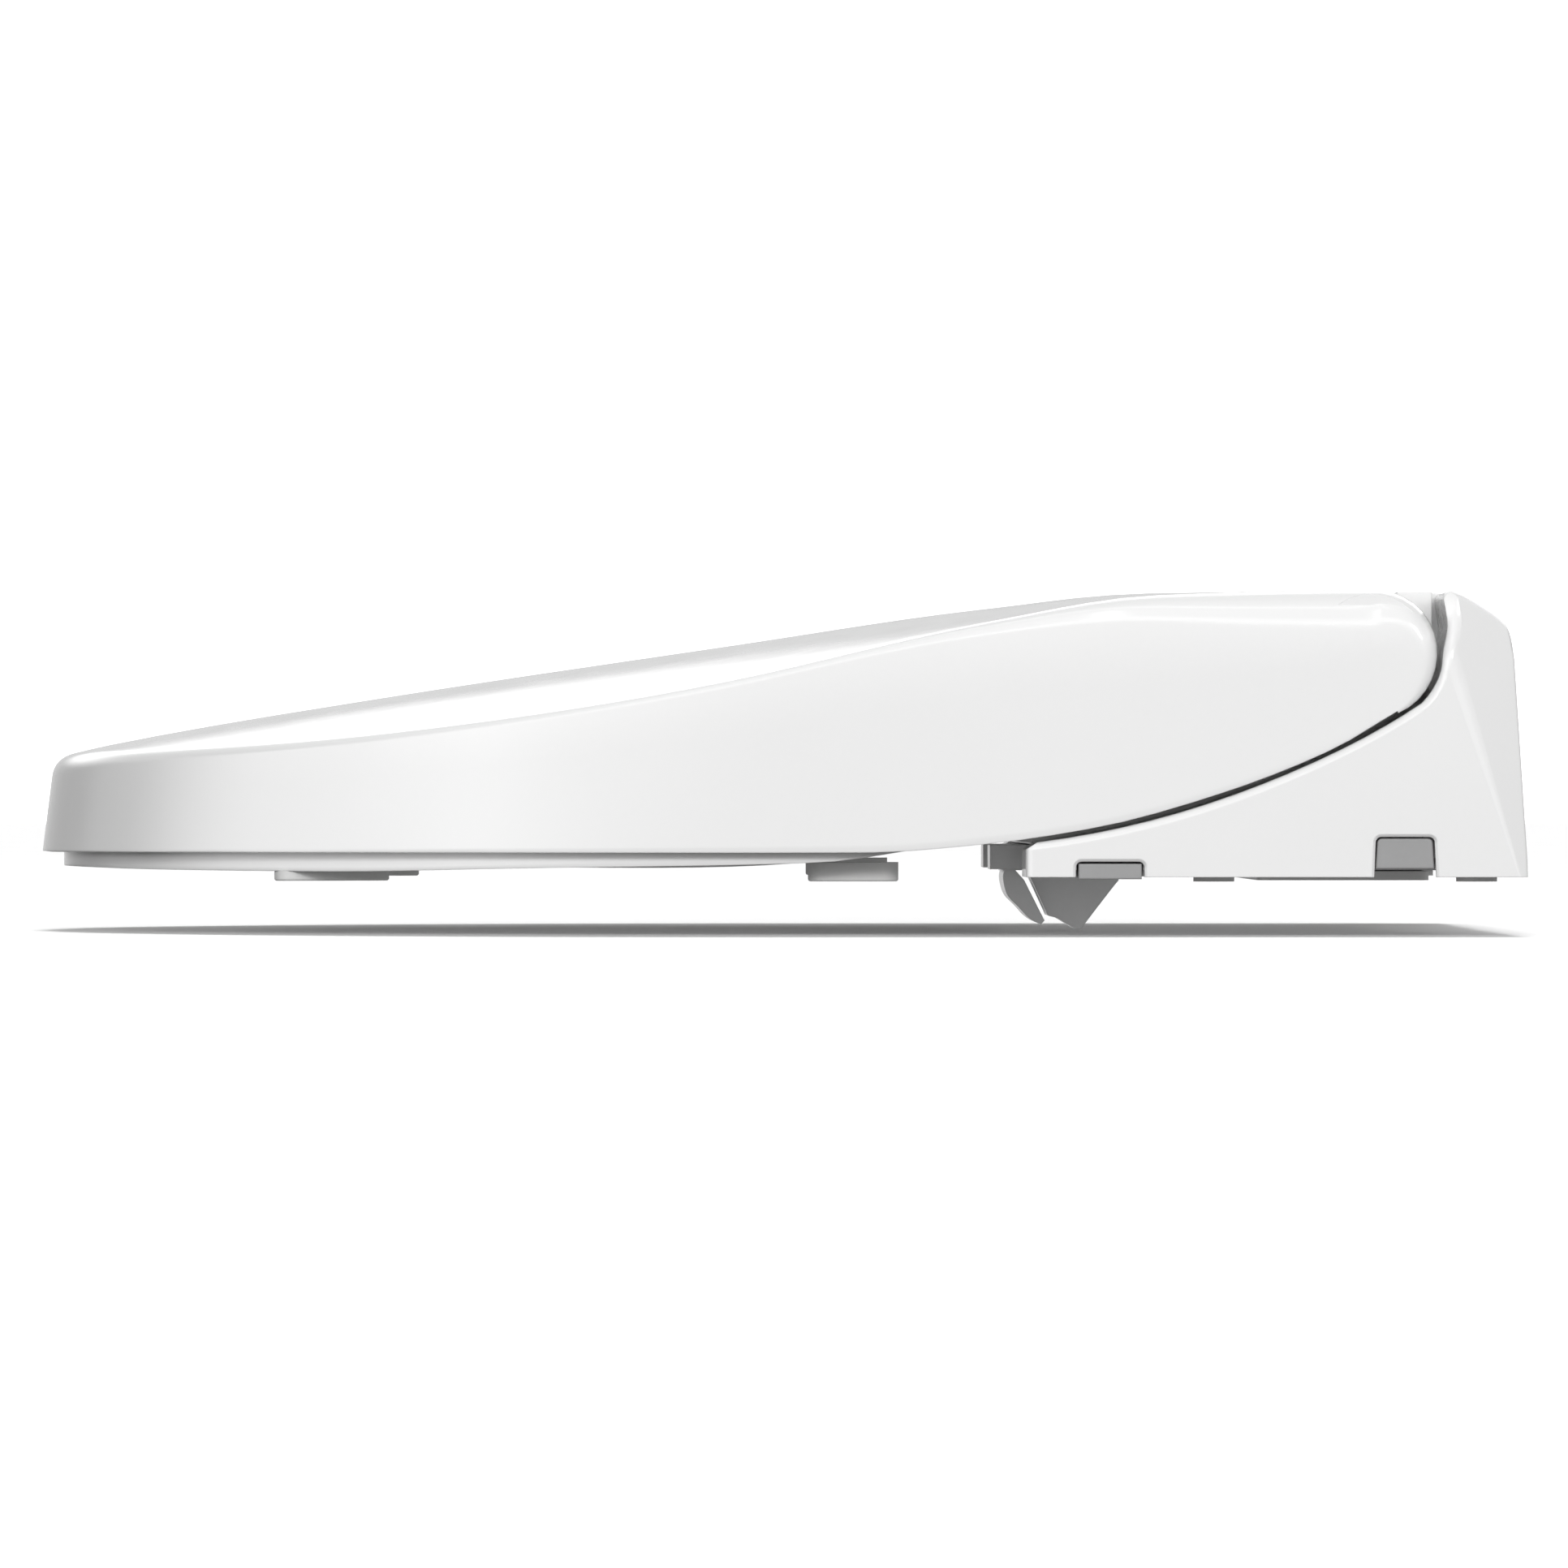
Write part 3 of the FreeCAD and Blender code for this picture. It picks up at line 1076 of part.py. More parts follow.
def make_electrics():
    """Control board over the heater, power supply, and the gland for the mains lead."""
    board = block("board_sheet", (-128.0, -58.0, 76.0), (-34.0, -6.0, 77.6))
    chips = [block(f"chip{index}", (-120.0 + 22.0 * index, -48.0, 77.6), (-106.0 + 22.0 * index, -36.0, 80.0))
             for index in range(4)]
    relays = [block(f"relay{index}", (-122.0 + 28.0 * index, -26.0, 77.6),
                    (-104.0 + 28.0 * index, -12.0, 86.0)) for index in range(3)]
    node("control_board", fuse("board_whole", board, *chips, *relays))
    node("power_supply", casing("power_supply", (106.0, -86.0, 12.0), (134.0, -22.0, 50.0), 4.0))
    gland = cut("gland", fuse("gland_solid", rod("gland_neck", "y", (GLAND_X, 50.0, GLAND_Z), 5.0, 9.4),
                              rod("gland_head", "y", (GLAND_X, 50.0, GLAND_Z), 7.5, 5.0)),
                rod("gland_bore", "y", (GLAND_X, 49.0, GLAND_Z), 3.4, 12.0))
    node("cord_gland", gland)


def hose(label, points, radius, bend):
    """A soft hose along straight runs joined by arcs, closed at both ends."""
    spots = [Vector(*point) for point in points]
    edges = []
    start = spots[0]
    for before, here, after in zip(spots, spots[1:], spots[2:]):
        back = (before - here).normalize()
        ahead = (after - here).normalize()
        turn = back.getAngle(ahead)
        reach = bend / math.tan(turn / 2)
        first = here + back * reach
        last = here + ahead * reach
        bisector = (back + ahead).normalize()
        middle = here + bisector * (bend / math.sin(turn / 2) - bend)
        edges.append(Part.LineSegment(start, first).toShape())
        edges.append(Part.Arc(first, middle, last).toShape())
        start = last
    edges.append(Part.LineSegment(start, spots[-1]).toShape())
    path = Part.Wire(edges)
    heading = (spots[1] - spots[0]).normalize()
    ring = Part.Wire([Part.makeCircle(radius, spots[0], heading)])
    tube = path.makePipeShell([ring], True, True)
    expected = math.pi * radius * radius * path.Length
    if abs(tube.Volume - expected) > 0.02 * expected:
        raise RuntimeError(f"{label} has the wrong volume")
    return node(label, coded(label, tube))


def make_hoses():
    """The fixed water hoses, from valve to pump, pump to heater, and heater to the guide."""
    hose("supply_hose", [(-141.0, -4.0, 15.0), (-131.0, -4.0, 15.0), (-131.0, 32.0, 15.0),
                         (-131.0, 32.0, 34.0), (-112.0, 32.0, 34.0)], 2.6, 7.0)
    hose("pump_hose", [(-62.0, 32.0, 30.0), (-50.0, 32.0, 30.0), (-50.0, 4.0, 30.0), (-60.0, -12.0, 30.0),
                       (-60.0, -22.0, 30.0)], 2.6, 6.0)
    hose("wand_hose", [(-44.0, -40.0, 40.0), (-32.0, -40.0, 40.0), (-32.0, -24.0, 46.0)], 2.6, 6.0)


# ---------------------------------------------------------------- buttons, filter, feet, pads, fasteners
def make_release_button():
    """Push button in the skirt, with the bar that lifts the housing's latch."""
    skew = 0.6
    body = padded("button_body", "YZ_Plane",
                  [(button.button_front, button.button_low), (button.button_rear, button.button_low),
                   (button.button_rear - skew, button.button_top),
                     (button.button_front + skew, button.button_top)],
                  180.5, button.button_outer)
    outer = float(button.button_outer)
    round_edges(body, 1.6, lambda edge: runs_along(X_AXIS)(edge) and edge.CenterOfMass.z > 10)
    round_edges(body, 0.6, lambda edge: min(v.X for v in edge.Vertexes) > outer - 0.01)
    bar = block("release_bar", (button.bar_inner, button.bar_front, 11.0), (181, button.bar_rear, 13.0))
    return node("release_button", fuse("release_whole", body, bar))


def make_filter():
    """Deodorizer cartridge: carbon box with an end cap that shows in the front notch."""
    body = padded("filter_cartridge", "YZ_Plane",
                  rectangle(filters.cartridge_front, filters.cartridge_low, filters.cartridge_rear,
                            filters.cartridge_top - 1.2), filters.cartridge_inner, 184.0)
    pad(body, "cartridge_cap", "YZ_Plane",
        rectangle(filters.cartridge_front, 0.9, filters.cartridge_rear, 6.2), 184.0, filters.cartridge_outer)
    outer = float(filters.cartridge_outer)
    round_edges(body, 0.5, lambda edge: min(v.X for v in edge.Vertexes) > outer - 0.01)
    for index in range(4):
        low = filters.cartridge_inner + 6 + 11 * index
        pocket(body, f"air_slot{index}", "XY_Plane",
               rectangle(low, filters.cartridge_front + 3, low + 6, filters.cartridge_rear - 3),
               filters.cartridge_top - 1.2, 2.0)
    return node("filter_cartridge", body)


def make_keys():
    """Two round push keys on the housing's deck."""
    for label, spot_x in zip(("power_key", "clean_key"), KEY_PLACES):
        stem = rod(f"{label}_stem", "z", (spot_x, KEY_ROW, aux.key_low), aux.key_radius,
                   aux.key_top - aux.key_low)
        skirt = rod(f"{label}_skirt", "z", (spot_x, KEY_ROW, aux.key_low - 1.6), aux.key_radius + 2, 1.6)
        key = fuse(f"{label}_solid", stem, skirt)
        rounded = doc.addObject("Part::Fillet", f"{label}_round")
        rounded.Base = key
        doc.recompute()
        top = float(aux.key_top)
        edges = [index for index, edge in enumerate(key.Shape.Edges, 1)
                 if edge.BoundBox.ZMin > top - 0.01]
        rounded.Edges = [(index, 0.8, 0.8) for index in edges]
        node(label, rounded)
    node("status_lens", rod("status_lens", "z", (0, -40, 88.6), 3.5, 3.6))


def make_pads():
    """Rubber feet of the housing, bumpers of the seat and of the lid, and the cover's screws."""
    feet = [rod(f"foot{index}", "z", (spot_x, spot_y, 0), 7.0, pan.pan_floor)
            for index, (spot_x, spot_y) in enumerate(((-165, -60), (165, -46), (-128, 44), (165, 44)))]
    node("base_feet", group("base_feet", *feet))
    screws = []
    for index, (spot_x, spot_y) in enumerate(((-172, -88), (120, -96), (-172, 6), (126, 48))):
        head = rod(f"screw_head{index}", "z", (spot_x, spot_y, 2.6), 3.4, 1.4)
        shank = rod(f"screw_shank{index}", "z", (spot_x, spot_y, 4.0), 1.6, 2.5)
        screws.append(fuse(f"screw{index}", head, shank))
    node("cover_screws", group("cover_screws", *screws))


def bumper(centre_x, front, rear, width, turn, top):
    """One long rubber bumper with rounded ends, standing on the bowl's rim."""
    long = rear - front
    box = Part.makeBox(width, long, top, Vector(-width / 2, -long / 2, 0))
    ends = [edge for edge in box.Edges if runs_along(Z_AXIS)(edge)]
    box = box.makeFillet(width * 0.45, ends)
    low = [edge for edge in box.Edges if edge.BoundBox.ZMax < 0.01]
    box = box.makeFillet(0.9, low)
    box.rotate(Vector(), Z_AXIS, turn)
    box.translate(Vector(centre_x, (front + rear) / 2, 0))
    return box


def lowest_part(shape):
    """The solid of a shape that reaches lowest."""
    return min(shape.Solids, key=lambda solid: solid.BoundBox.ZMin)


def make_bumpers():
    """Front and rear seat bumpers, and the lid's pads that rest over the seat."""
    front = [bumper(x, -370.5, -329.5, 12, turn, 3.6) for x, turn in ((128, 22), (-128, -22))]
    rear = [bumper(x, -185, -154, 13, 0, 6.6) for x in (160, -160)]
    front = [lowest_part(piece.cut(seat_lower).cut(seat_upper)) for piece in front]
    rear = [lowest_part(piece.cut(seat_lower).cut(seat_upper)) for piece in rear]
    node("seat_bumpers_front", coded("seat_bumpers_front", Part.makeCompound(front)))
    node("seat_bumpers_rear", coded("seat_bumpers_rear", Part.makeCompound(rear)))
    roof = crown_block(float(lid.lid_wall))
    pads = []
    for spot_x, spot_y in ((120, -300), (-120, -300), (146, -170), (-146, -170)):
        bottom = seat_height(spot_y) + 1.0
        pads.append(Part.makeCylinder(6.5, 90 - bottom, Vector(spot_x, spot_y, bottom), Z_AXIS).common(roof))
    node("lid_bumpers", coded("lid_bumpers", Part.makeCompound(pads)))
    foil = seat_plan(float(seat.seat_wall) + 4, -60.0)
    level = [(along, seat_height(along) - float(seat.seat_wall) - 1.2)
             for along in (-140, -170, -200, -250, -300, -350, -400)]
    sheet_face = chain(side(level), side([level[-1], (level[-1][0], level[-1][1] - 1.0)]),
                       side([(along, up - 1.0) for along, up in reversed(level)]))
    node("seat_heater", coded("seat_heater", foil.common(across(sheet_face, -200, 200))))


make_mounting_plate()
make_base_pan()
make_wand()
make_pinion()
make_guide()
make_wand_motor()
make_guard()
make_gate()
make_gate_pin()
make_hinge_line()
make_water_works()
make_air_works()
make_electrics()
make_hoses()
make_release_button()
make_filter()
make_keys()
make_pads()
make_bumpers()
doc.recompute()

# ---------------------------------------------------------------- checks and export
for item in doc.Objects:
    if "Invalid" in item.State or "Error" in item.State:
        raise RuntimeError(f"{item.Label} failed: {item.State}")
labels = [item.Label for item in NODES]
if len(set(labels)) != len(labels):
    raise RuntimeError("two sub-parts share a name")
for item in NODES:
    if item.Shape.isNull() or not item.Shape.isValid() or not item.Shape.Solids:
        raise RuntimeError(f"{item.Label} has no valid solid")
os.makedirs("parts", exist_ok=True)
for item in NODES:
    item.Shape.exportStep(f"parts/{item.Label}.step")
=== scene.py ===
import json
import math
import bmesh
import bpy
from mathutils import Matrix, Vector


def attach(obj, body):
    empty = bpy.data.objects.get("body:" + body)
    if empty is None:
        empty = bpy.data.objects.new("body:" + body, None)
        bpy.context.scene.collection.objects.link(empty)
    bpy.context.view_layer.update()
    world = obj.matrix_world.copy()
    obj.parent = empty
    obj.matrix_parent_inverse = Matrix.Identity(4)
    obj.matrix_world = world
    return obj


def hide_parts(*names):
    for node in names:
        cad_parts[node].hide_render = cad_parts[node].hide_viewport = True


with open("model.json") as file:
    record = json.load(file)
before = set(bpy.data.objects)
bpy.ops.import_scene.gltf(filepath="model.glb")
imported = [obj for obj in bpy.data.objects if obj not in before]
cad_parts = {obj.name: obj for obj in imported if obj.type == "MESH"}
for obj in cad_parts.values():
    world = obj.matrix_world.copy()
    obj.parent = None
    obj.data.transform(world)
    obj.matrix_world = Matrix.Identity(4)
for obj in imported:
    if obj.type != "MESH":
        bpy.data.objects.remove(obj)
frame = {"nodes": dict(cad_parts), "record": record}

MM = 0.001
MERGE_DISTANCE, SLIVER_LENGTH = 2e-5, 1e-5     # metres
NODES = frame["nodes"]
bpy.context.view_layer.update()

# ---------------------------------------------------------------- curves through tables
def slopes(points):
    """Slopes of a smooth curve through points that adds no bumps between them."""
    steps = [(b[1] - a[1]) / (b[0] - a[0]) for a, b in zip(points, points[1:])]
    found = [steps[0]]
    for before, after in zip(steps, steps[1:]):
        found.append(0.0 if before * after <= 0 else 2 * before * after / (before + after))
    return found + [steps[-1]]


class Curve:
    """y = f(x) through a table of points in order of x; held flat beyond its ends."""

    def __init__(self, *points):
        self.points = sorted(points)
        self.slopes = slopes(self.points)

    def __call__(self, x):
        points = self.points
        if x <= points[0][0]:
            return points[0][1]
        if x >= points[-1][0]:
            return points[-1][1]
        index = next(i for i in range(len(points) - 1) if x <= points[i + 1][0])
        (x0, y0), (x1, y1) = points[index], points[index + 1]
        width = x1 - x0
        t = (x - x0) / width
        m0, m1 = self.slopes[index] * width, self.slopes[index + 1] * width
        return ((2 * t ** 3 - 3 * t ** 2 + 1) * y0 + (t ** 3 - 2 * t ** 2 + t) * m0
                + (3 * t ** 2 - 2 * t ** 3) * y1 + (t ** 3 - t ** 2) * m1)


def mix(a, b, t):
    return tuple(p + (q - p) * t for p, q in zip(a, b))


def bezier(a, corner, b, count):
    """Points on a rounded corner from a to b, after a itself."""
    return [mix(mix(a, corner, i / count), mix(corner, b, i / count), i / count)
            for i in range(1, count + 1)]


def spread(start, end, count):
    """count numbers from start to end, both included."""
    return [start + (end - start) * i / (count - 1) for i in range(count)]


# ---------------------------------------------------------------- mesh helpers
def new_piece(name, points, faces, body, slot_name, mirrored=True):
    """A smooth-shaded mesh from points in millimetres, mirrored in X when asked."""
    points = [tuple(p) for p in points]
    faces = [tuple(f) for f in faces]
    if mirrored:
        count = len(points)
        points += [(-x, y, z) for x, y, z in points]
        faces += [tuple(i + count for i in reversed(f)) for f in faces]
    mesh = bpy.data.meshes.new(name)
    mesh.from_pydata([tuple(c * MM for c in p) for p in points], [], faces)
    mesh.materials.append(MATERIALS[slot_name])
    piece = bpy.data.objects.new(name, mesh)
    bpy.context.scene.collection.objects.link(piece)
    clean(piece)
    mesh.shade_smooth()
    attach(piece, body)
    return piece


def clean(piece):
    """Merge the halves where they meet and drop faces that have no area."""
    mesh = bmesh.new()
    mesh.from_mesh(piece.data)
    bmesh.ops.remove_doubles(mesh, verts=mesh.verts, dist=MERGE_DISTANCE)
    bmesh.ops.dissolve_degenerate(mesh, dist=SLIVER_LENGTH, edges=mesh.edges)
    bmesh.ops.recalc_face_normals(mesh, faces=mesh.faces)
    mesh.to_mesh(piece.data)
    mesh.free()


def grid_faces(rows, columns, closed=False):
    """Quads of a grid whose points are stored column after column."""
    faces = []
    for c in range(columns - 1):
        for r in range(rows if closed else rows - 1):
            up = (r + 1) % rows
            faces.append((c * rows + r, (c + 1) * rows + r, (c + 1) * rows + up, c * rows + up))
    return faces


def lathe(name, profile, axis_y, axis_z, body, slot_name, mirrored=True, count=64):
    """Turn a closed (radius, x) profile about the hinge line."""
    points = []
    for turn in range(count):
        angle = 2 * math.pi * turn / count
        points += [(x, axis_y + r * math.cos(angle), axis_z + r * math.sin(angle)) for r, x in profile]
    rows = len(profile)
    faces = grid_faces(rows, count, closed=True)
    faces += [((count - 1) * rows + r, r, (r + 1) % rows, (count - 1) * rows + (r + 1) % rows)
              for r in range(rows)]
    piece = new_piece(name, points, faces, body, slot_name, mirrored)
    sharpen(piece)
    return piece


def sharpen(piece, angle=38.0):
    """Keep corners sharper than the angle as corners in the shading."""
    piece.data.set_sharp_from_angle(angle=math.radians(angle))


def modifier(piece, kind, **settings):
    item = piece.modifiers.new(kind.title(), kind)
    for key, value in settings.items():
        setattr(item, key, value)
    return item


# ---------------------------------------------------------------- materials
class Graph:
    """Short-hand for building one material's nodes."""

    def __init__(self, name):
        self.material = bpy.data.materials.new(name)
        self.material.use_nodes = True
        self.nodes = self.material.node_tree.nodes
        self.links = self.material.node_tree.links
        self.shader = self.nodes["Principled BSDF"]
        self.place = self.nodes.new("ShaderNodeTexCoord").outputs["Object"]

    def node(self, kind, inputs=(), **settings):
        item = self.nodes.new("ShaderNode" + kind)
        for key, value in settings.items():
            setattr(item, key, value)
        for key, value in dict(inputs).items():
            if hasattr(value, "is_output"):
                self.links.new(value, item.inputs[key])
            else:
                item.inputs[key].default_value = value
        return item

    def noise(self, scale, detail=3.0, rough=0.5, stretch=(1, 1, 1)):
        place = self.place
        if stretch != (1, 1, 1):
            place = self.node("Mapping", {"Vector": self.place, "Scale": stretch}).outputs["Vector"]
        inputs = {"Vector": place, "Scale": scale, "Detail": detail, "Roughness": rough}
        return self.node("TexNoise", inputs).outputs["Fac"]

    def ramp(self, factor, stops):
        item = self.node("ValToRGB", {"Fac": factor})
        for element, (position, colour) in zip(item.color_ramp.elements, (stops[0], stops[-1])):
            element.position, element.color = position, (*colour, 1)
        for position, colour in stops[1:-1]:
            item.color_ramp.elements.new(position).color = (*colour, 1)
        return item.outputs["Color"]

    def range(self, value, low, high, start=0.3, end=0.7):
        inputs = {"Value": value, "From Min": start, "From Max": end, "To Min": low, "To Max": high}
        return self.node("MapRange", inputs).outputs["Result"]

    def blend(self, factor, first, second):
        item = self.node("Mix", data_type="RGBA")
        for socket, value in ((0, factor), (6, first), (7, second)):
            self.links.new(value, item.inputs[socket])
        return item.outputs[2]

    def bump(self, heights, normal=None):
        """Stack bumps given as (height, strength, distance in metres) on a starting normal."""
        for height, strength, distance in heights:
            inputs = {"Height": height, "Strength": strength, "Distance": distance}
            if normal is not None:
                inputs["Normal"] = normal
            normal = self.node("Bump", inputs).outputs["Normal"]
        self.links.new(normal, self.shader.inputs["Normal"])

    def edges(self, radius=0.0006):
        """Worn edges, from 0 on flats to 1 on sharp corners, and the softened normal there."""
        sharp, flat_enough = 0.80, 0.995
        rounded = self.node("Bevel", {"Radius": radius}, samples=4).outputs["Normal"]
        flat = self.nodes.new("ShaderNodeNewGeometry").outputs["Normal"]
        match = self.node("VectorMath", {0: rounded, 1: flat}, operation="DOT_PRODUCT").outputs["Value"]
        return self.range(match, 1.0, 0.0, sharp, flat_enough), rounded

    def set(self, **values):
        for key, value in values.items():
            self.shader.inputs[key.replace("_", " ")].default_value = value

    def link(self, key, output):
        self.links.new(output, self.shader.inputs[key])


def tint(colour, factor):
    return tuple(min(1.0, c * factor) for c in colour)


def plastic(name, colour, rough, rough_spread=0.05, shade=0.03, grain=(2600.0, 0.15, 0.00003),
            wave=None, coat=0.0, wear=0.5, ior=1.5):
    """Moulded plastic or rubber: mottled colour, fine grain, slow waves and rubbed edges."""
    graph = Graph(name)
    broad = graph.noise(14.0, 4.0, 0.55)
    fine = graph.noise(420.0, 3.0, 0.6)
    base = graph.ramp(broad, [(0.3, tint(colour, 1 - shade)), (0.55, colour),
                              (0.75, tint(colour, 1 + shade))])
    speck = graph.ramp(fine, [(0.25, tint(colour, 1 - 1.6 * shade)), (0.5, tint(colour, 1.0)),
                              (0.8, tint(colour, 1 + shade))])
    mottled = graph.blend(graph.range(fine, 0.2, 0.5), base, speck)
    worn, soft_normal = graph.edges()
    rubbed = graph.ramp(fine, [(0.2, tint(colour, 1 + wear * 0.12)), (0.8, tint(colour, 1 + wear * 0.2))])
    amount = graph.node("Math", {0: worn, 1: graph.range(fine, 0.1, 0.6)}, operation="MULTIPLY")
    graph.link("Base Color", graph.blend(amount.outputs[0], mottled, rubbed))
    smudge = graph.noise(55.0, 5.0, 0.6)
    graph.link("Roughness", graph.range(smudge, max(0.02, rough - rough_spread), rough + rough_spread))
    heights = []
    if wave:
        heights.append((graph.noise(wave[0], 1.5, 0.4), wave[1], wave[2]))
    heights.append((graph.noise(grain[0], 2.0, 0.5), grain[1], grain[2]))
    graph.bump(heights, soft_normal)
    graph.set(IOR=ior, Coat_Weight=coat, Coat_Roughness=0.06)
    return graph.material


def metal(name, colour, rough, stretch, shade=0.08, scale=900.0):
    """Metal with brushing along one direction and a slow change of tone."""
    graph = Graph(name)
    brushed = graph.noise(scale, 3.0, 0.6, stretch)
    broad = graph.noise(60.0, 3.0, 0.5)
    dark, light = tint(colour, 1 - shade), tint(colour, 1 + shade)
    first = graph.ramp(brushed, [(0.3, dark), (0.7, light)])
    second = graph.ramp(broad, [(0.3, tint(colour, 1 - shade * 0.6)), (0.7, colour)])
    graph.link("Base Color", graph.blend(graph.range(brushed, 0.3, 0.7), first, second))
    graph.link("Roughness", graph.range(brushed, rough - 0.06, rough + 0.1))
    graph.bump([(brushed, 0.25, 0.00002)], graph.edges(0.0004)[1])
    graph.set(Metallic=1.0)
    return graph.material


def circuit_board(name, colour):
    """Solder mask with copper tracks under it and a fine weave."""
    graph = Graph(name)
    inputs = {"Vector": graph.place, "Scale": 260.0, "Mortar Size": 0.03, "Brick Width": 1.7,
              "Row Height": 0.4, "Color1": (*colour, 1), "Color2": (*tint(colour, 0.8), 1),
              "Mortar": (*tint(colour, 1.9), 1)}
    tracks = graph.node("TexBrick", inputs)
    speck = graph.ramp(graph.noise(700.0), [(0.3, tint(colour, 0.75)), (0.7, tint(colour, 1.2))])
    patchy = graph.range(graph.noise(90.0), 0.1, 0.5)
    graph.link("Base Color", graph.blend(patchy, tracks.outputs["Color"], speck))
    graph.link("Roughness", graph.range(graph.noise(300.0), 0.25, 0.4))
    graph.bump([(tracks.outputs["Fac"], 0.3, 0.00005)])
    return graph.material


def crinkled_foil(name, colour):
    """Thin foil with creases and a heating track showing through."""
    graph = Graph(name)
    crease = graph.node("TexVoronoi", {"Vector": graph.place, "Scale": 140.0}, feature="DISTANCE_TO_EDGE")
    lines = graph.node("TexWave", {"Vector": graph.place, "Scale": 22.0, "Distortion": 0.6})
    graph.link("Base Color", graph.ramp(lines.outputs["Fac"], [(0.35, tint(colour, 0.72)), (0.5, colour)]))
    graph.link("Roughness", graph.range(graph.noise(200.0), 0.22, 0.42))
    graph.bump([(crease.outputs["Distance"], 0.35, 0.0002), (lines.outputs["Fac"], 0.2, 0.0001)])
    graph.set(Metallic=1.0)
    return graph.material


def lit_lens(name, colour):
    """Tinted status lens with a mottled tint and an even glow."""
    graph = Graph(name)
    cloud = graph.noise(800.0, 3.0, 0.5)
    graph.link("Base Color", graph.ramp(cloud, [(0.3, tint(colour, 0.85)), (0.7, tint(colour, 1.15))]))
    graph.link("Roughness", graph.range(cloud, 0.08, 0.16))
    graph.bump([(graph.noise(1800.0), 0.1, 0.00002)])
    graph.set(Emission_Color=(0.25, 0.6, 0.95, 1), Emission_Strength=0.5, Coat_Weight=0.6)
    return graph.material


def make_materials():
    made = {
        "white_shell": plastic("gloss_white", (0.79, 0.79, 0.789), 0.13, 0.035, 0.010,
                               (1500.0, 0.04, 0.00002), (26.0, 0.06, 0.0006), coat=0.45, wear=0.5),
        "white_inner": plastic("satin_white", (0.76, 0.76, 0.755), 0.38, 0.06, 0.025,
                               (1800.0, 0.18, 0.00003), (30.0, 0.05, 0.0005), wear=0.6),
        "grey_plastic": plastic("satin_grey", (0.31, 0.31, 0.312), 0.40, 0.07, 0.04,
                                (2000.0, 0.22, 0.00003), (34.0, 0.05, 0.0005), wear=1.0),
        # Painted light: this grey is made as light as the white shell, lighter than its own colour, to stand
        # in for light that the guard, gate and base pan do not get in the shade under the seat.
        "grey_gloss_painted_lighter": plastic("gloss_grey_painted_lighter", (0.80, 0.80, 0.802), 0.16, 0.05, 0.03,
                              (1600.0, 0.08, 0.00002), (30.0, 0.06, 0.0005), coat=0.4, wear=0.6),
        "dark_plastic": plastic("dark_plastic", (0.035, 0.035, 0.038), 0.48, 0.08, 0.10,
                                (2200.0, 0.3, 0.00004), wear=3.0),
        "rubber_grey": plastic("soft_grey_rubber", (0.68, 0.68, 0.675), 0.62, 0.08, 0.04,
                               (1300.0, 0.3, 0.00005), wear=0.4, ior=1.45),
        "rubber_dark": plastic("dark_rubber", (0.045, 0.045, 0.045), 0.68, 0.08, 0.12,
                               (1300.0, 0.35, 0.00006), wear=2.0, ior=1.45),
        "hose": plastic("silicone_hose", (0.66, 0.69, 0.70), 0.34, 0.06, 0.03,
                        (1200.0, 0.12, 0.00004), (70.0, 0.1, 0.0003), wear=0.3, ior=1.42),
        "steel": metal("brushed_steel", (0.56, 0.56, 0.57), 0.30, (0.06, 1.0, 1.0)),
        "brass": metal("machined_brass", (0.68, 0.50, 0.25), 0.28, (1.0, 1.0, 0.08)),
        "motor_can": metal("plated_can", (0.50, 0.50, 0.52), 0.34, (0.08, 1.0, 1.0), 0.1),
        "board_green": circuit_board("solder_mask", (0.03, 0.17, 0.08)),
        "foil": crinkled_foil("heater_foil", (0.72, 0.72, 0.73)),
        "lens": lit_lens("status_lens", (0.22, 0.45, 0.7)),
    }
    hose = made["hose"].node_tree.nodes["Principled BSDF"]
    hose.inputs["Subsurface Weight"].default_value = 0.25
    hose.inputs["Subsurface Scale"].default_value = 0.002
    return made


MATERIALS = make_materials()

# ---------------------------------------------------------------- camera, floor and lights
CAMERA_PLACE = (3.130, -0.1932, 0.0225)      # straight out from the side, level with the skirt
CAMERA_TILT, CAMERA_TURN = 90.21, 90.0
LENS, SENSOR = 198.75, 36.0
FLOOR_LEVEL, FLOOR_REACH = -0.0188, 40.0
FLOOR_LIGHT, FLOOR_LIGHT_ANGLE = 1.7, 22.0
# Name, place, target, size, watts and whether it shows in gloss.
LIGHTS = (("overhead_strip", (0.10, -0.15, 1.5), (0, -0.2, 0.05), (0.10, 1.7), 0.7, True),
          ("side_strip", (1.2, -0.1, 1.3), (0, -0.2, 0.05), (0.06, 1.5), 0.8, True),
          ("side_key", (2.9, -0.1, 0.95), (0, -0.15, 0.05), (1.6, 0.4), 34.0, False),
          ("nose_fill", (1.9, -1.9, 0.5), (0, -0.35, 0.03), (0.8, 0.5), 10.0, False),
          ("rear_corner", (1.9, 1.2, 0.9), (0, 0, 0.05), (0.5, 0.5), 8.0, True))


def make_camera():
    data = bpy.data.cameras.new("camera")
    data.sensor_width, data.lens = SENSOR, LENS
    data.clip_start, data.clip_end = 0.05, 200.0
    data.dof.use_dof = False
    camera = bpy.data.objects.new("camera", data)
    camera.location = CAMERA_PLACE
    camera.rotation_euler = (math.radians(CAMERA_TILT), 0, math.radians(CAMERA_TURN))
    bpy.context.scene.collection.objects.link(camera)
    bpy.context.scene.camera = camera


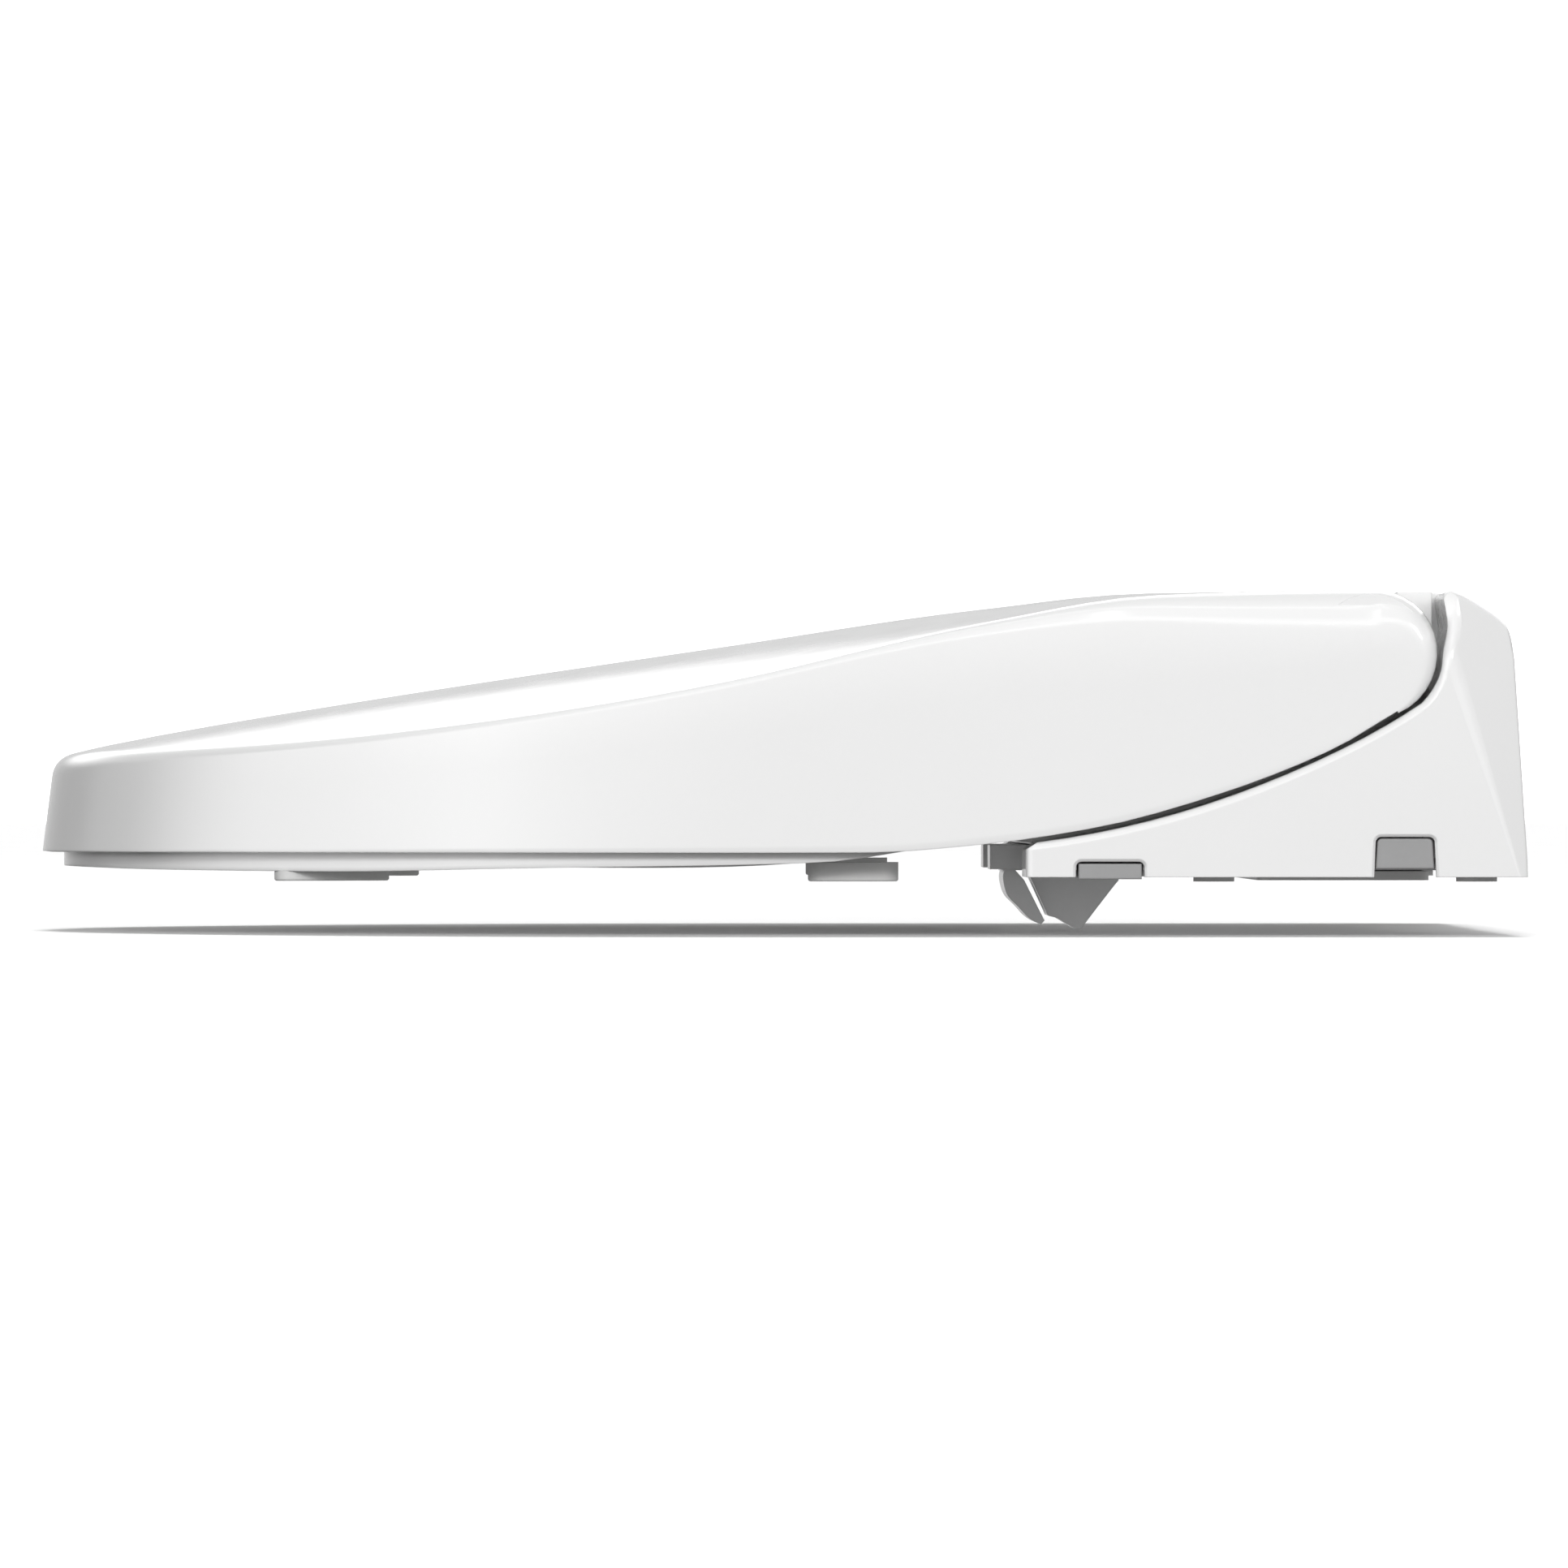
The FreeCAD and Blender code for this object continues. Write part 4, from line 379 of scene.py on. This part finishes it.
def make_floor():
    """Pale floor that shows and takes shadows, but throws no light back at the seat."""
    reach, level = FLOOR_REACH, FLOOR_LEVEL
    mesh = bpy.data.meshes.new("floor")
    corners = [(-reach, -reach, level), (reach, -reach, level), (reach, reach, level),
               (-reach, reach, level)]
    mesh.from_pydata(corners, [], [(0, 1, 2, 3)])
    floor = bpy.data.objects.new("floor", mesh)
    bpy.context.scene.collection.objects.link(floor)
    graph = Graph("pale_floor")
    tones = [(0.3, (0.93, 0.93, 0.93)), (0.7, (0.95, 0.95, 0.95))]
    graph.link("Base Color", graph.ramp(graph.noise(3.0), tones))
    graph.link("Roughness", graph.range(graph.noise(20.0), 0.7, 0.85))
    graph.set(Specular_IOR_Level=0.1)
    mesh.materials.append(graph.material)
    floor.visible_diffuse = floor.visible_glossy = False
    return floor


def area_light(name, place, target, size, watts, in_gloss):
    data = bpy.data.lights.new(name, "AREA")
    data.shape = "RECTANGLE"
    data.size, data.size_y = size
    data.energy = watts
    lamp = bpy.data.objects.new(name, data)
    lamp.location = place
    lamp.rotation_euler = (Vector(target) - Vector(place)).to_track_quat("-Z", "Y").to_euler()
    lamp.visible_glossy = in_gloss
    bpy.context.scene.collection.objects.link(lamp)


def floor_light(floor):
    """Wide, even light from above on the floor alone, which keeps it white all the way out."""
    data = bpy.data.lights.new("floor_light", "SUN")
    data.energy = FLOOR_LIGHT
    data.angle = math.radians(FLOOR_LIGHT_ANGLE)
    lamp = bpy.data.objects.new("floor_light", data)
    bpy.context.scene.collection.objects.link(lamp)
    lit = bpy.data.collections.new("lit_by_floor_light")
    lit.objects.link(floor)
    lamp.light_linking.receiver_collection = lit


def make_world():
    """White surround: dimmer below and past both ends, with a soft panel for gloss at the nose."""
    world = bpy.data.worlds.new("studio")
    world.use_nodes = True
    nodes, links = world.node_tree.nodes, world.node_tree.links
    split = nodes.new("ShaderNodeSeparateXYZ")
    links.new(nodes.new("ShaderNodeTexCoord").outputs["Generated"], split.inputs[0])

    def falloff(axis, start, end, low, high):
        item = nodes.new("ShaderNodeMapRange")
        item.interpolation_type = "SMOOTHSTEP"
        for key, value in (("From Min", start), ("From Max", end), ("To Min", low), ("To Max", high)):
            item.inputs[key].default_value = value
        links.new(split.outputs[axis], item.inputs["Value"])
        return item.outputs["Result"]

    def combine(operation, *values):
        total = values[0]
        for value in values[1:]:
            item = nodes.new("ShaderNodeMath")
            item.operation = operation
            links.new(total, item.inputs[0])
            links.new(value, item.inputs[1])
            total = item.outputs[0]
        return total

    # Each falloff runs along one axis of the direction looked in, from start to end.
    # Little light comes in low on the side that is seen, so the lid's rim shades the seat under it.
    low_side = combine("MAXIMUM", falloff("X", 0.1, 0.4, 1.0, 0.0), falloff("Z", 0.0, 0.20, 0.45, 1.10))
    below = falloff("Z", -0.12, -0.03, 0.46, 1.68)
    above = falloff("Z", 0.10, 0.62, 1.0, 0.24)
    ahead = falloff("Y", -0.96, -0.20, 0.16, 1.0)
    astern = falloff("Y", 0.15, 0.85, 1.0, 0.55)
    base = combine("MULTIPLY", low_side, below, above, ahead, astern)
    # The soft panel that the nose mirrors, out to its side and a little above the horizon.
    panel = combine("MULTIPLY", falloff("X", -0.30, 0.35, 0.0, 2.6), falloff("X", 0.78, 1.02, 1.0, 0.15),
                    falloff("Y", -0.30, 0.10, 1.0, 0.0), falloff("Z", -0.30, 0.0, 0.0, 1.0),
                    falloff("Z", 0.26, 0.46, 1.0, 0.0))
    # Mirrored in the lid's top: grey just above the horizon behind the seat, white higher up.
    behind = combine("MAXIMUM", falloff("X", -0.75, -0.45, 0.0, 1.0), falloff("Z", 0.16, 0.42, 0.40, 2.8))
    mirrored = combine("ADD", combine("MULTIPLY", base, behind), panel)
    kind = nodes.new("ShaderNodeMix")
    glossy_ray = nodes.new("ShaderNodeLightPath").outputs["Is Glossy Ray"]
    for value, place in ((glossy_ray, 0), (base, 2), (mirrored, 3)):
        links.new(value, kind.inputs[place])
    back = nodes["Background"]
    back.inputs["Color"].default_value = (1, 1, 1, 1)
    links.new(kind.outputs[0], back.inputs["Strength"])
    bpy.context.scene.world = world


make_camera()
floor_light(make_floor())
make_world()
for light in LIGHTS:
    area_light(*light)
scene = bpy.context.scene
scene.view_settings.view_transform = "Standard"
scene.view_settings.look = "None"

# ---------------------------------------------------------------- lid
HINGE_Y, HINGE_Z = 6.6, 78.3
LID_HALF = 190.0
NOSE_START = -200.0
WALL_LOW, WALL_DRAFT = 262.6, 14.4 / 115     # reach of the nose at Z -5 and how it leans back
BOSS_INNER = 158.0
REAR_EDGE = -18.0
ROLL, ROLL_END, ROLL_LOW_Y = 22.8, -67.0, 12.5      # radius, last angle and where the wing's edge ends
ROLL_DROP, ROLL_INSET = (14.0, 0.8), (21.0, 1.0)    # rounded edge of the wing, at the hinge and at its end
LID_WALL, EDGE_ROUND = 0.003, 0.0005                # metres
WALL_STEPS = (0, 0.04, 0.35, 0.7, 1)                # shares of the way up the wall
TOP_STEPS = (0.33, 0.67, 1.0)                       # shares of the way in to the wing's inner face
INNER_ROWS = (130, 100, 68, 34, 0)                  # X of the rows over the top inside that
EDGE_POINTS = 8
SIDE_STATIONS = (-188, -175, -163, -150, -138, -126, -114, -102, -90, -78, -66, -55, -45, -36, -27,
                 REAR_EDGE, -9, -1, HINGE_Y)
CROWN_TABLE = ((-475, 38.6, 27.5), (-432, 48.9, 26.0), (-330, 66.2, 21.6), (-212, 83.8, 15.9),
               (-124, 96.4, 8.6), (-66, 101.6, 4.4), (6.6, 101.1, 1.6), (40, 99.6, 1.0))
CROWN = Curve(*[(y, z) for y, z, _ in CROWN_TABLE])
FALL = Curve(*[(y, fall) for y, _, fall in CROWN_TABLE])
LID_EDGE = Curve((-200, 9.9), (-163, 10.0), (-129, 12.4), (-87, 18.5), (-46, 29.7), (-7, 45.0),
                 (12.5, 56.4))
# How far the rounding between wall and top reaches down the wall, and in over the top.
EDGE_DROP = Curve((-448, 6.5), (-420, 4.0), (-350, 2.4), (-250, 1.9), (-180, 2.2), (-120, 4.5), (-70, 9.0),
                  (-20, 13.0), (6.6, 14.0))
EDGE_IN = Curve((-448, 7.0), (-420, 5.0), (-350, 3.2), (-250, 2.4), (-180, 3.0), (-120, 7.0), (-70, 14.0),
                (-20, 20.0), (6.6, 21.0))


def crown(x, y):
    return CROWN(y) - FALL(y) * (x / LID_HALF) ** 2


def nose_front(z):
    """How far the nose reaches ahead of where the sides start to curve in, at a height."""
    return WALL_LOW - WALL_DRAFT * (z + 5)


def places_inward(inner):
    """X of the points from the end of the rounded edge in to the middle."""
    return [inner + (BOSS_INNER - inner) * t for t in TOP_STEPS] + list(INNER_ROWS)


def lid_nose_columns():
    """Lines over the lid from its edge in to the spine, fanned round the nose."""
    columns = []
    for turn in spread(0.0, 90.0, 31):
        s, c = math.sin(math.radians(turn)), math.cos(math.radians(turn))
        z = 45.0
        for _ in range(4):              # settles the height at which wall and crown meet
            y = NOSE_START - nose_front(z) * c
            z = crown(LID_HALF * s, y)
        spine_y = NOSE_START - 0.55 * nose_front(z) * c
        side = LID_HALF * s
        drop, inset = EDGE_DROP(y), EDGE_IN(y)
        share = 1 - inset / math.hypot(side, y - spine_y)

        def wall_at(level):
            return (side, NOSE_START - nose_front(level) * c, level)

        def top_at(part):
            px, py = side * part, spine_y + (y - spine_y) * part
            return (px, py, crown(px, py))

        low = LID_EDGE(y)
        column = [wall_at(low + (z - drop - low) * t) for t in WALL_STEPS]
        column += bezier(column[-1], (side, y, z), top_at(share), EDGE_POINTS)
        target = BOSS_INNER / LID_HALF
        parts = [share + (target - share) * t for t in TOP_STEPS] + [x / LID_HALF for x in INNER_ROWS]
        columns.append(column + [top_at(part) for part in parts])
    return columns


def lid_side_columns():
    """The same lines straight across the lid, from the nose back to the hinge."""
    columns = []
    for y in SIDE_STATIONS:
        z = crown(LID_HALF, y)
        low = LID_EDGE(y)
        drop, inset = EDGE_DROP(y), EDGE_IN(y)
        inner = LID_HALF - inset
        column = [(LID_HALF, y, low + (z - drop - low) * t) for t in WALL_STEPS]
        column += bezier(column[-1], (LID_HALF, y, z), (inner, y, crown(inner, y)), EDGE_POINTS)
        columns.append(column + [(x, y, crown(x, y)) for x in places_inward(inner)])
    return columns


def lid_roll_columns():
    """The same lines round the hinge, at the back of each wing."""
    columns = []
    turns = spread(90.0, ROLL_END, 16)[1:]
    top = crown(LID_HALF, HINGE_Y)
    for index, turn in enumerate(turns):
        share = (index + 1) / len(turns)
        s, c = math.sin(math.radians(turn)), math.cos(math.radians(turn))
        ease = min(1.0, share * 3.0)
        radius = ROLL * ease + (top - HINGE_Z) * (1 - ease)
        drop, inset = (first + (last - first) * share for first, last in (ROLL_DROP, ROLL_INSET))
        low_y = HINGE_Y + (ROLL_LOW_Y - HINGE_Y) * share
        low = (LID_HALF, low_y, LID_EDGE(low_y))
        flat = (LID_HALF, HINGE_Y + (radius - drop) * c, HINGE_Z + (radius - drop) * s)
        inner = LID_HALF - inset

        def roll_at(x):
            grown = radius + (crown(x, HINGE_Y) - top) * (1 - ease)
            return (x, HINGE_Y + grown * c, HINGE_Z + grown * s)

        column = [mix(low, flat, t) for t in WALL_STEPS]
        column += bezier(flat, roll_at(LID_HALF), roll_at(inner), EDGE_POINTS)
        columns.append(column + [roll_at(x) for x in places_inward(inner)])
    return columns


def make_lid():
    """Curved shell with its two wings, and the boss in each wing that holds the hinge."""
    columns = lid_nose_columns() + lid_side_columns() + lid_roll_columns()
    rows = len(columns[0])
    points = [p for column in columns for p in column]
    faces = []
    for face in grid_faces(rows, len(columns)):
        middle = [sum(points[i][k] for i in face) / len(face) for k in range(2)]
        if middle[0] >= BOSS_INNER - 0.5 or middle[1] <= REAR_EDGE:     # open between the two wings
            faces.append(face)
    used = sorted({i for face in faces for i in face})
    fresh = {old: new for new, old in enumerate(used)}
    points = [points[i] for i in used]
    faces = [tuple(fresh[i] for i in face) for face in faces]
    lid = new_piece("lid", points, faces, "lid", "white_shell")
    modifier(lid, "SOLIDIFY", thickness=LID_WALL, offset=-1.0, use_even_offset=True,
             use_quality_normals=True)
    modifier(lid, "BEVEL", width=EDGE_ROUND, segments=2, limit_method="ANGLE",
             angle_limit=math.radians(50), loop_slide=False)
    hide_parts("lid_shell")
    bore, face, rim, blind, outer = 5.2, BOSS_INNER, 19.6, 178.0, 187.0
    profile = [(bore, blind), (bore, face + 0.5), (bore + 0.5, face), (rim - 0.6, face), (rim, face + 0.6),
               (rim, outer), (bore + 2, outer)]
    lathe("lid_boss", profile, HINGE_Y, HINGE_Z, "lid", "white_shell")


make_lid()

# ---------------------------------------------------------------- seat ring
SEAT_HALF, SEAT_REACH = 183.5, 253.0                # half width, and how far the front runs ahead
HOLE_HALF, HOLE_START, HOLE_REACH = 108.0, -225.0, 160.0
UNDER = Curve((-453, 4.7), (-449.5, 4.6), (-412, 3.7), (-350, 3.3), (-284, 4.5), (-184, 6.4), (-160, 9.0),
              (-129, 15.5), (-87, 23.0), (-46, 34.5), (-12, 50.0), (-2, 62.4))
TOP = Curve((-453, 31.0), (-425, 34.0), (-350, 41.5), (-250, 47.5), (-150, 55.0), (-80, 66.0), (-36, 77.0),
            (-9.5, 86.4))
SEAT_WALL = 3.0
TOP_LEAN, WIDE_RUN = 1.6, 60.0                      # fall at the edges, and the width that has all of it
ARM_REAR, ARM_UNDER, ARM_TOP = -2.0, 62.4, 80.0     # where each arm of the ring meets its knuckle


def seat_stations():
    """(outer point, inner point, outer edge radius, solid) round the ring from the nose to an arm."""
    found = []
    for turn in spread(0.0, 90.0, 31):
        s, c = math.sin(math.radians(turn)), math.cos(math.radians(turn))
        outer = (SEAT_HALF * s, NOSE_START - SEAT_REACH * c)
        inner = (HOLE_HALF * s, HOLE_START - HOLE_REACH * c)
        found.append((outer, inner, 13.0 + 10.0 * c ** 2, False))
    for outer_y, inner_x, inner_y in ((-188, 108.5, -207), (-176, 110.9, -190), (-164, 114.3, -170),
                                      (-152, 117.6, -151), (-141, 124.6, -140), (-130, 132.6, -129),
                                      (-119, 139.6, -119), (-107, 142.2, -107), (-93, 142.2, -93),
                                      (-79, 142.2, -79), (-66, 142.2, -68)):
        found.append(((SEAT_HALF, outer_y), (inner_x, inner_y), 13.0, False))
    shoulder = (((183.5, -56), -60, 11, False), ((182.6, -51), -56, 10, False), ((180.2, -47), -52, 9, False),
                ((176.0, -44.2), -49, 8, False), ((170.0, -42.8), -46.5, 6, False),
                ((163.0, -42.3), -45.0, 5, True), ((157.5, -42.2), -43.5, 4, True),
                ((156, -41.0), -41, 4, True), ((156, -34), -34, 4, True), ((156, -26), -26, 4, True),
                ((156, -18), -18, 4, True), ((156, -9.5), -9.5, 4, True))
    for outer, inner_y, radius, solid in shoulder:
        found.append((outer, (142.2, inner_y), radius, solid))
    return found


def seat_loop(outer, inner, radius, solid):
    """Closed line round the ring's section at one station."""
    run = math.hypot(outer[0] - inner[0], outer[1] - inner[1])

    def at(distance, high):
        x, y = mix(outer, inner, distance / run)
        return (x, y, high)

    def top_at(distance, lower=0.0):
        """On the top, which falls a little towards both its edges."""
        x, y = mix(outer, inner, distance / run)
        lean = TOP_LEAN * ((distance / run) * 2 - 1) ** 4 * min(1.0, run / WIDE_RUN)
        return (x, y, TOP(y) - lean - lower)

    def under_at(distance):
        return UNDER(mix(outer, inner, distance / run)[1])

    height = top_at(0)[2] - under_at(0)
    radius = min(radius, height * 0.6, run * 0.42)
    inner_radius = min(9.0, run * 0.3)
    line = [at(0, under_at(0)), at(0, under_at(0) + 1.5)]
    side_top = at(0, top_at(0)[2] - radius)
    line += [mix(line[1], side_top, 0.5), side_top]
    start = radius * 1.25 if run > WIDE_RUN else radius
    line += bezier(side_top, top_at(0), top_at(start), 7)
    end = run - inner_radius
    line += [top_at(start + (end - start) * t) for t in (0.25, 0.5, 0.75, 1.0)]
    side_top = at(run, top_at(run)[2] - inner_radius)
    line += bezier(top_at(end), top_at(run), side_top, 7)
    low = at(run, under_at(run))
    line += [mix(side_top, at(run, low[2] + 1.5), 0.5), at(run, low[2] + 1.5), low]
    wall = SEAT_WALL
    if solid:
        inside = [at(run * t, under_at(run * t)) for t in (0.92, 0.8, 0.65, 0.5, 0.35, 0.2, 0.08)]
    else:
        inside = [at(run - wall, under_at(run - wall)), at(run - wall, top_at(run - wall, inner_radius)[2]),
                  top_at(run - inner_radius, wall), top_at(run * 0.5, wall),
                  top_at(max(radius, wall + 2), wall), at(wall, top_at(wall, radius)[2]),
                  at(wall, under_at(wall))]
    return line + inside


def make_seat():
    """Ring with a rounded top and a hollow underside, and the knuckle at the end of each arm."""
    loops = [seat_loop(*station) for station in seat_stations()]
    rows = len(loops[0])
    last = loops[-1]
    points = [p for loop in loops for p in loop]
    tail = [(x, ARM_REAR - (z - ARM_UNDER) * 0.12, min(max(z, ARM_UNDER), ARM_TOP)) for x, _, z in last]
    points += tail
    faces = grid_faces(rows, len(loops) + 1, closed=True)
    faces.append(tuple(range(len(loops) * rows, (len(loops) + 1) * rows)))
    seat = new_piece("seat_ring", points, faces, "seat", "white_shell")
    modifier(seat, "BEVEL", width=EDGE_ROUND, segments=2, limit_method="ANGLE", angle_limit=math.radians(55))
    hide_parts("seat_top")
    low, high, rim, bore, edge = 142.2, 156.0, 18.0, 8.02, 1.0
    profile = [(bore, high), (bore, low), (rim - edge, low), (rim - edge * 0.3, low + edge * 0.3),
               (rim, low + edge), (rim, high - edge), (rim - edge * 0.3, high - edge * 0.3),
               (rim - edge, high)]
    lathe("seat_knuckle", profile, HINGE_Y, HINGE_Z, "seat", "white_shell")


make_seat()

# ---------------------------------------------------------------- pieces kept from the frame
def dress_frame():
    """Give every kept node its procedural material."""
    slots = {row["node"]: row["material_slot"] for row in frame["record"]["subparts"]}
    # Painted light: the nozzle guard, gate and base pan take the lightened grey, which makes up for the shade
    # they sit in under the seat.
    slots.update(dict.fromkeys(("nozzle_guard", "nozzle_gate", "base_pan"), "grey_gloss_painted_lighter"))
    for name, piece in NODES.items():
        for item in piece.material_slots:
            item.material = MATERIALS[slots[name]]


dress_frame()
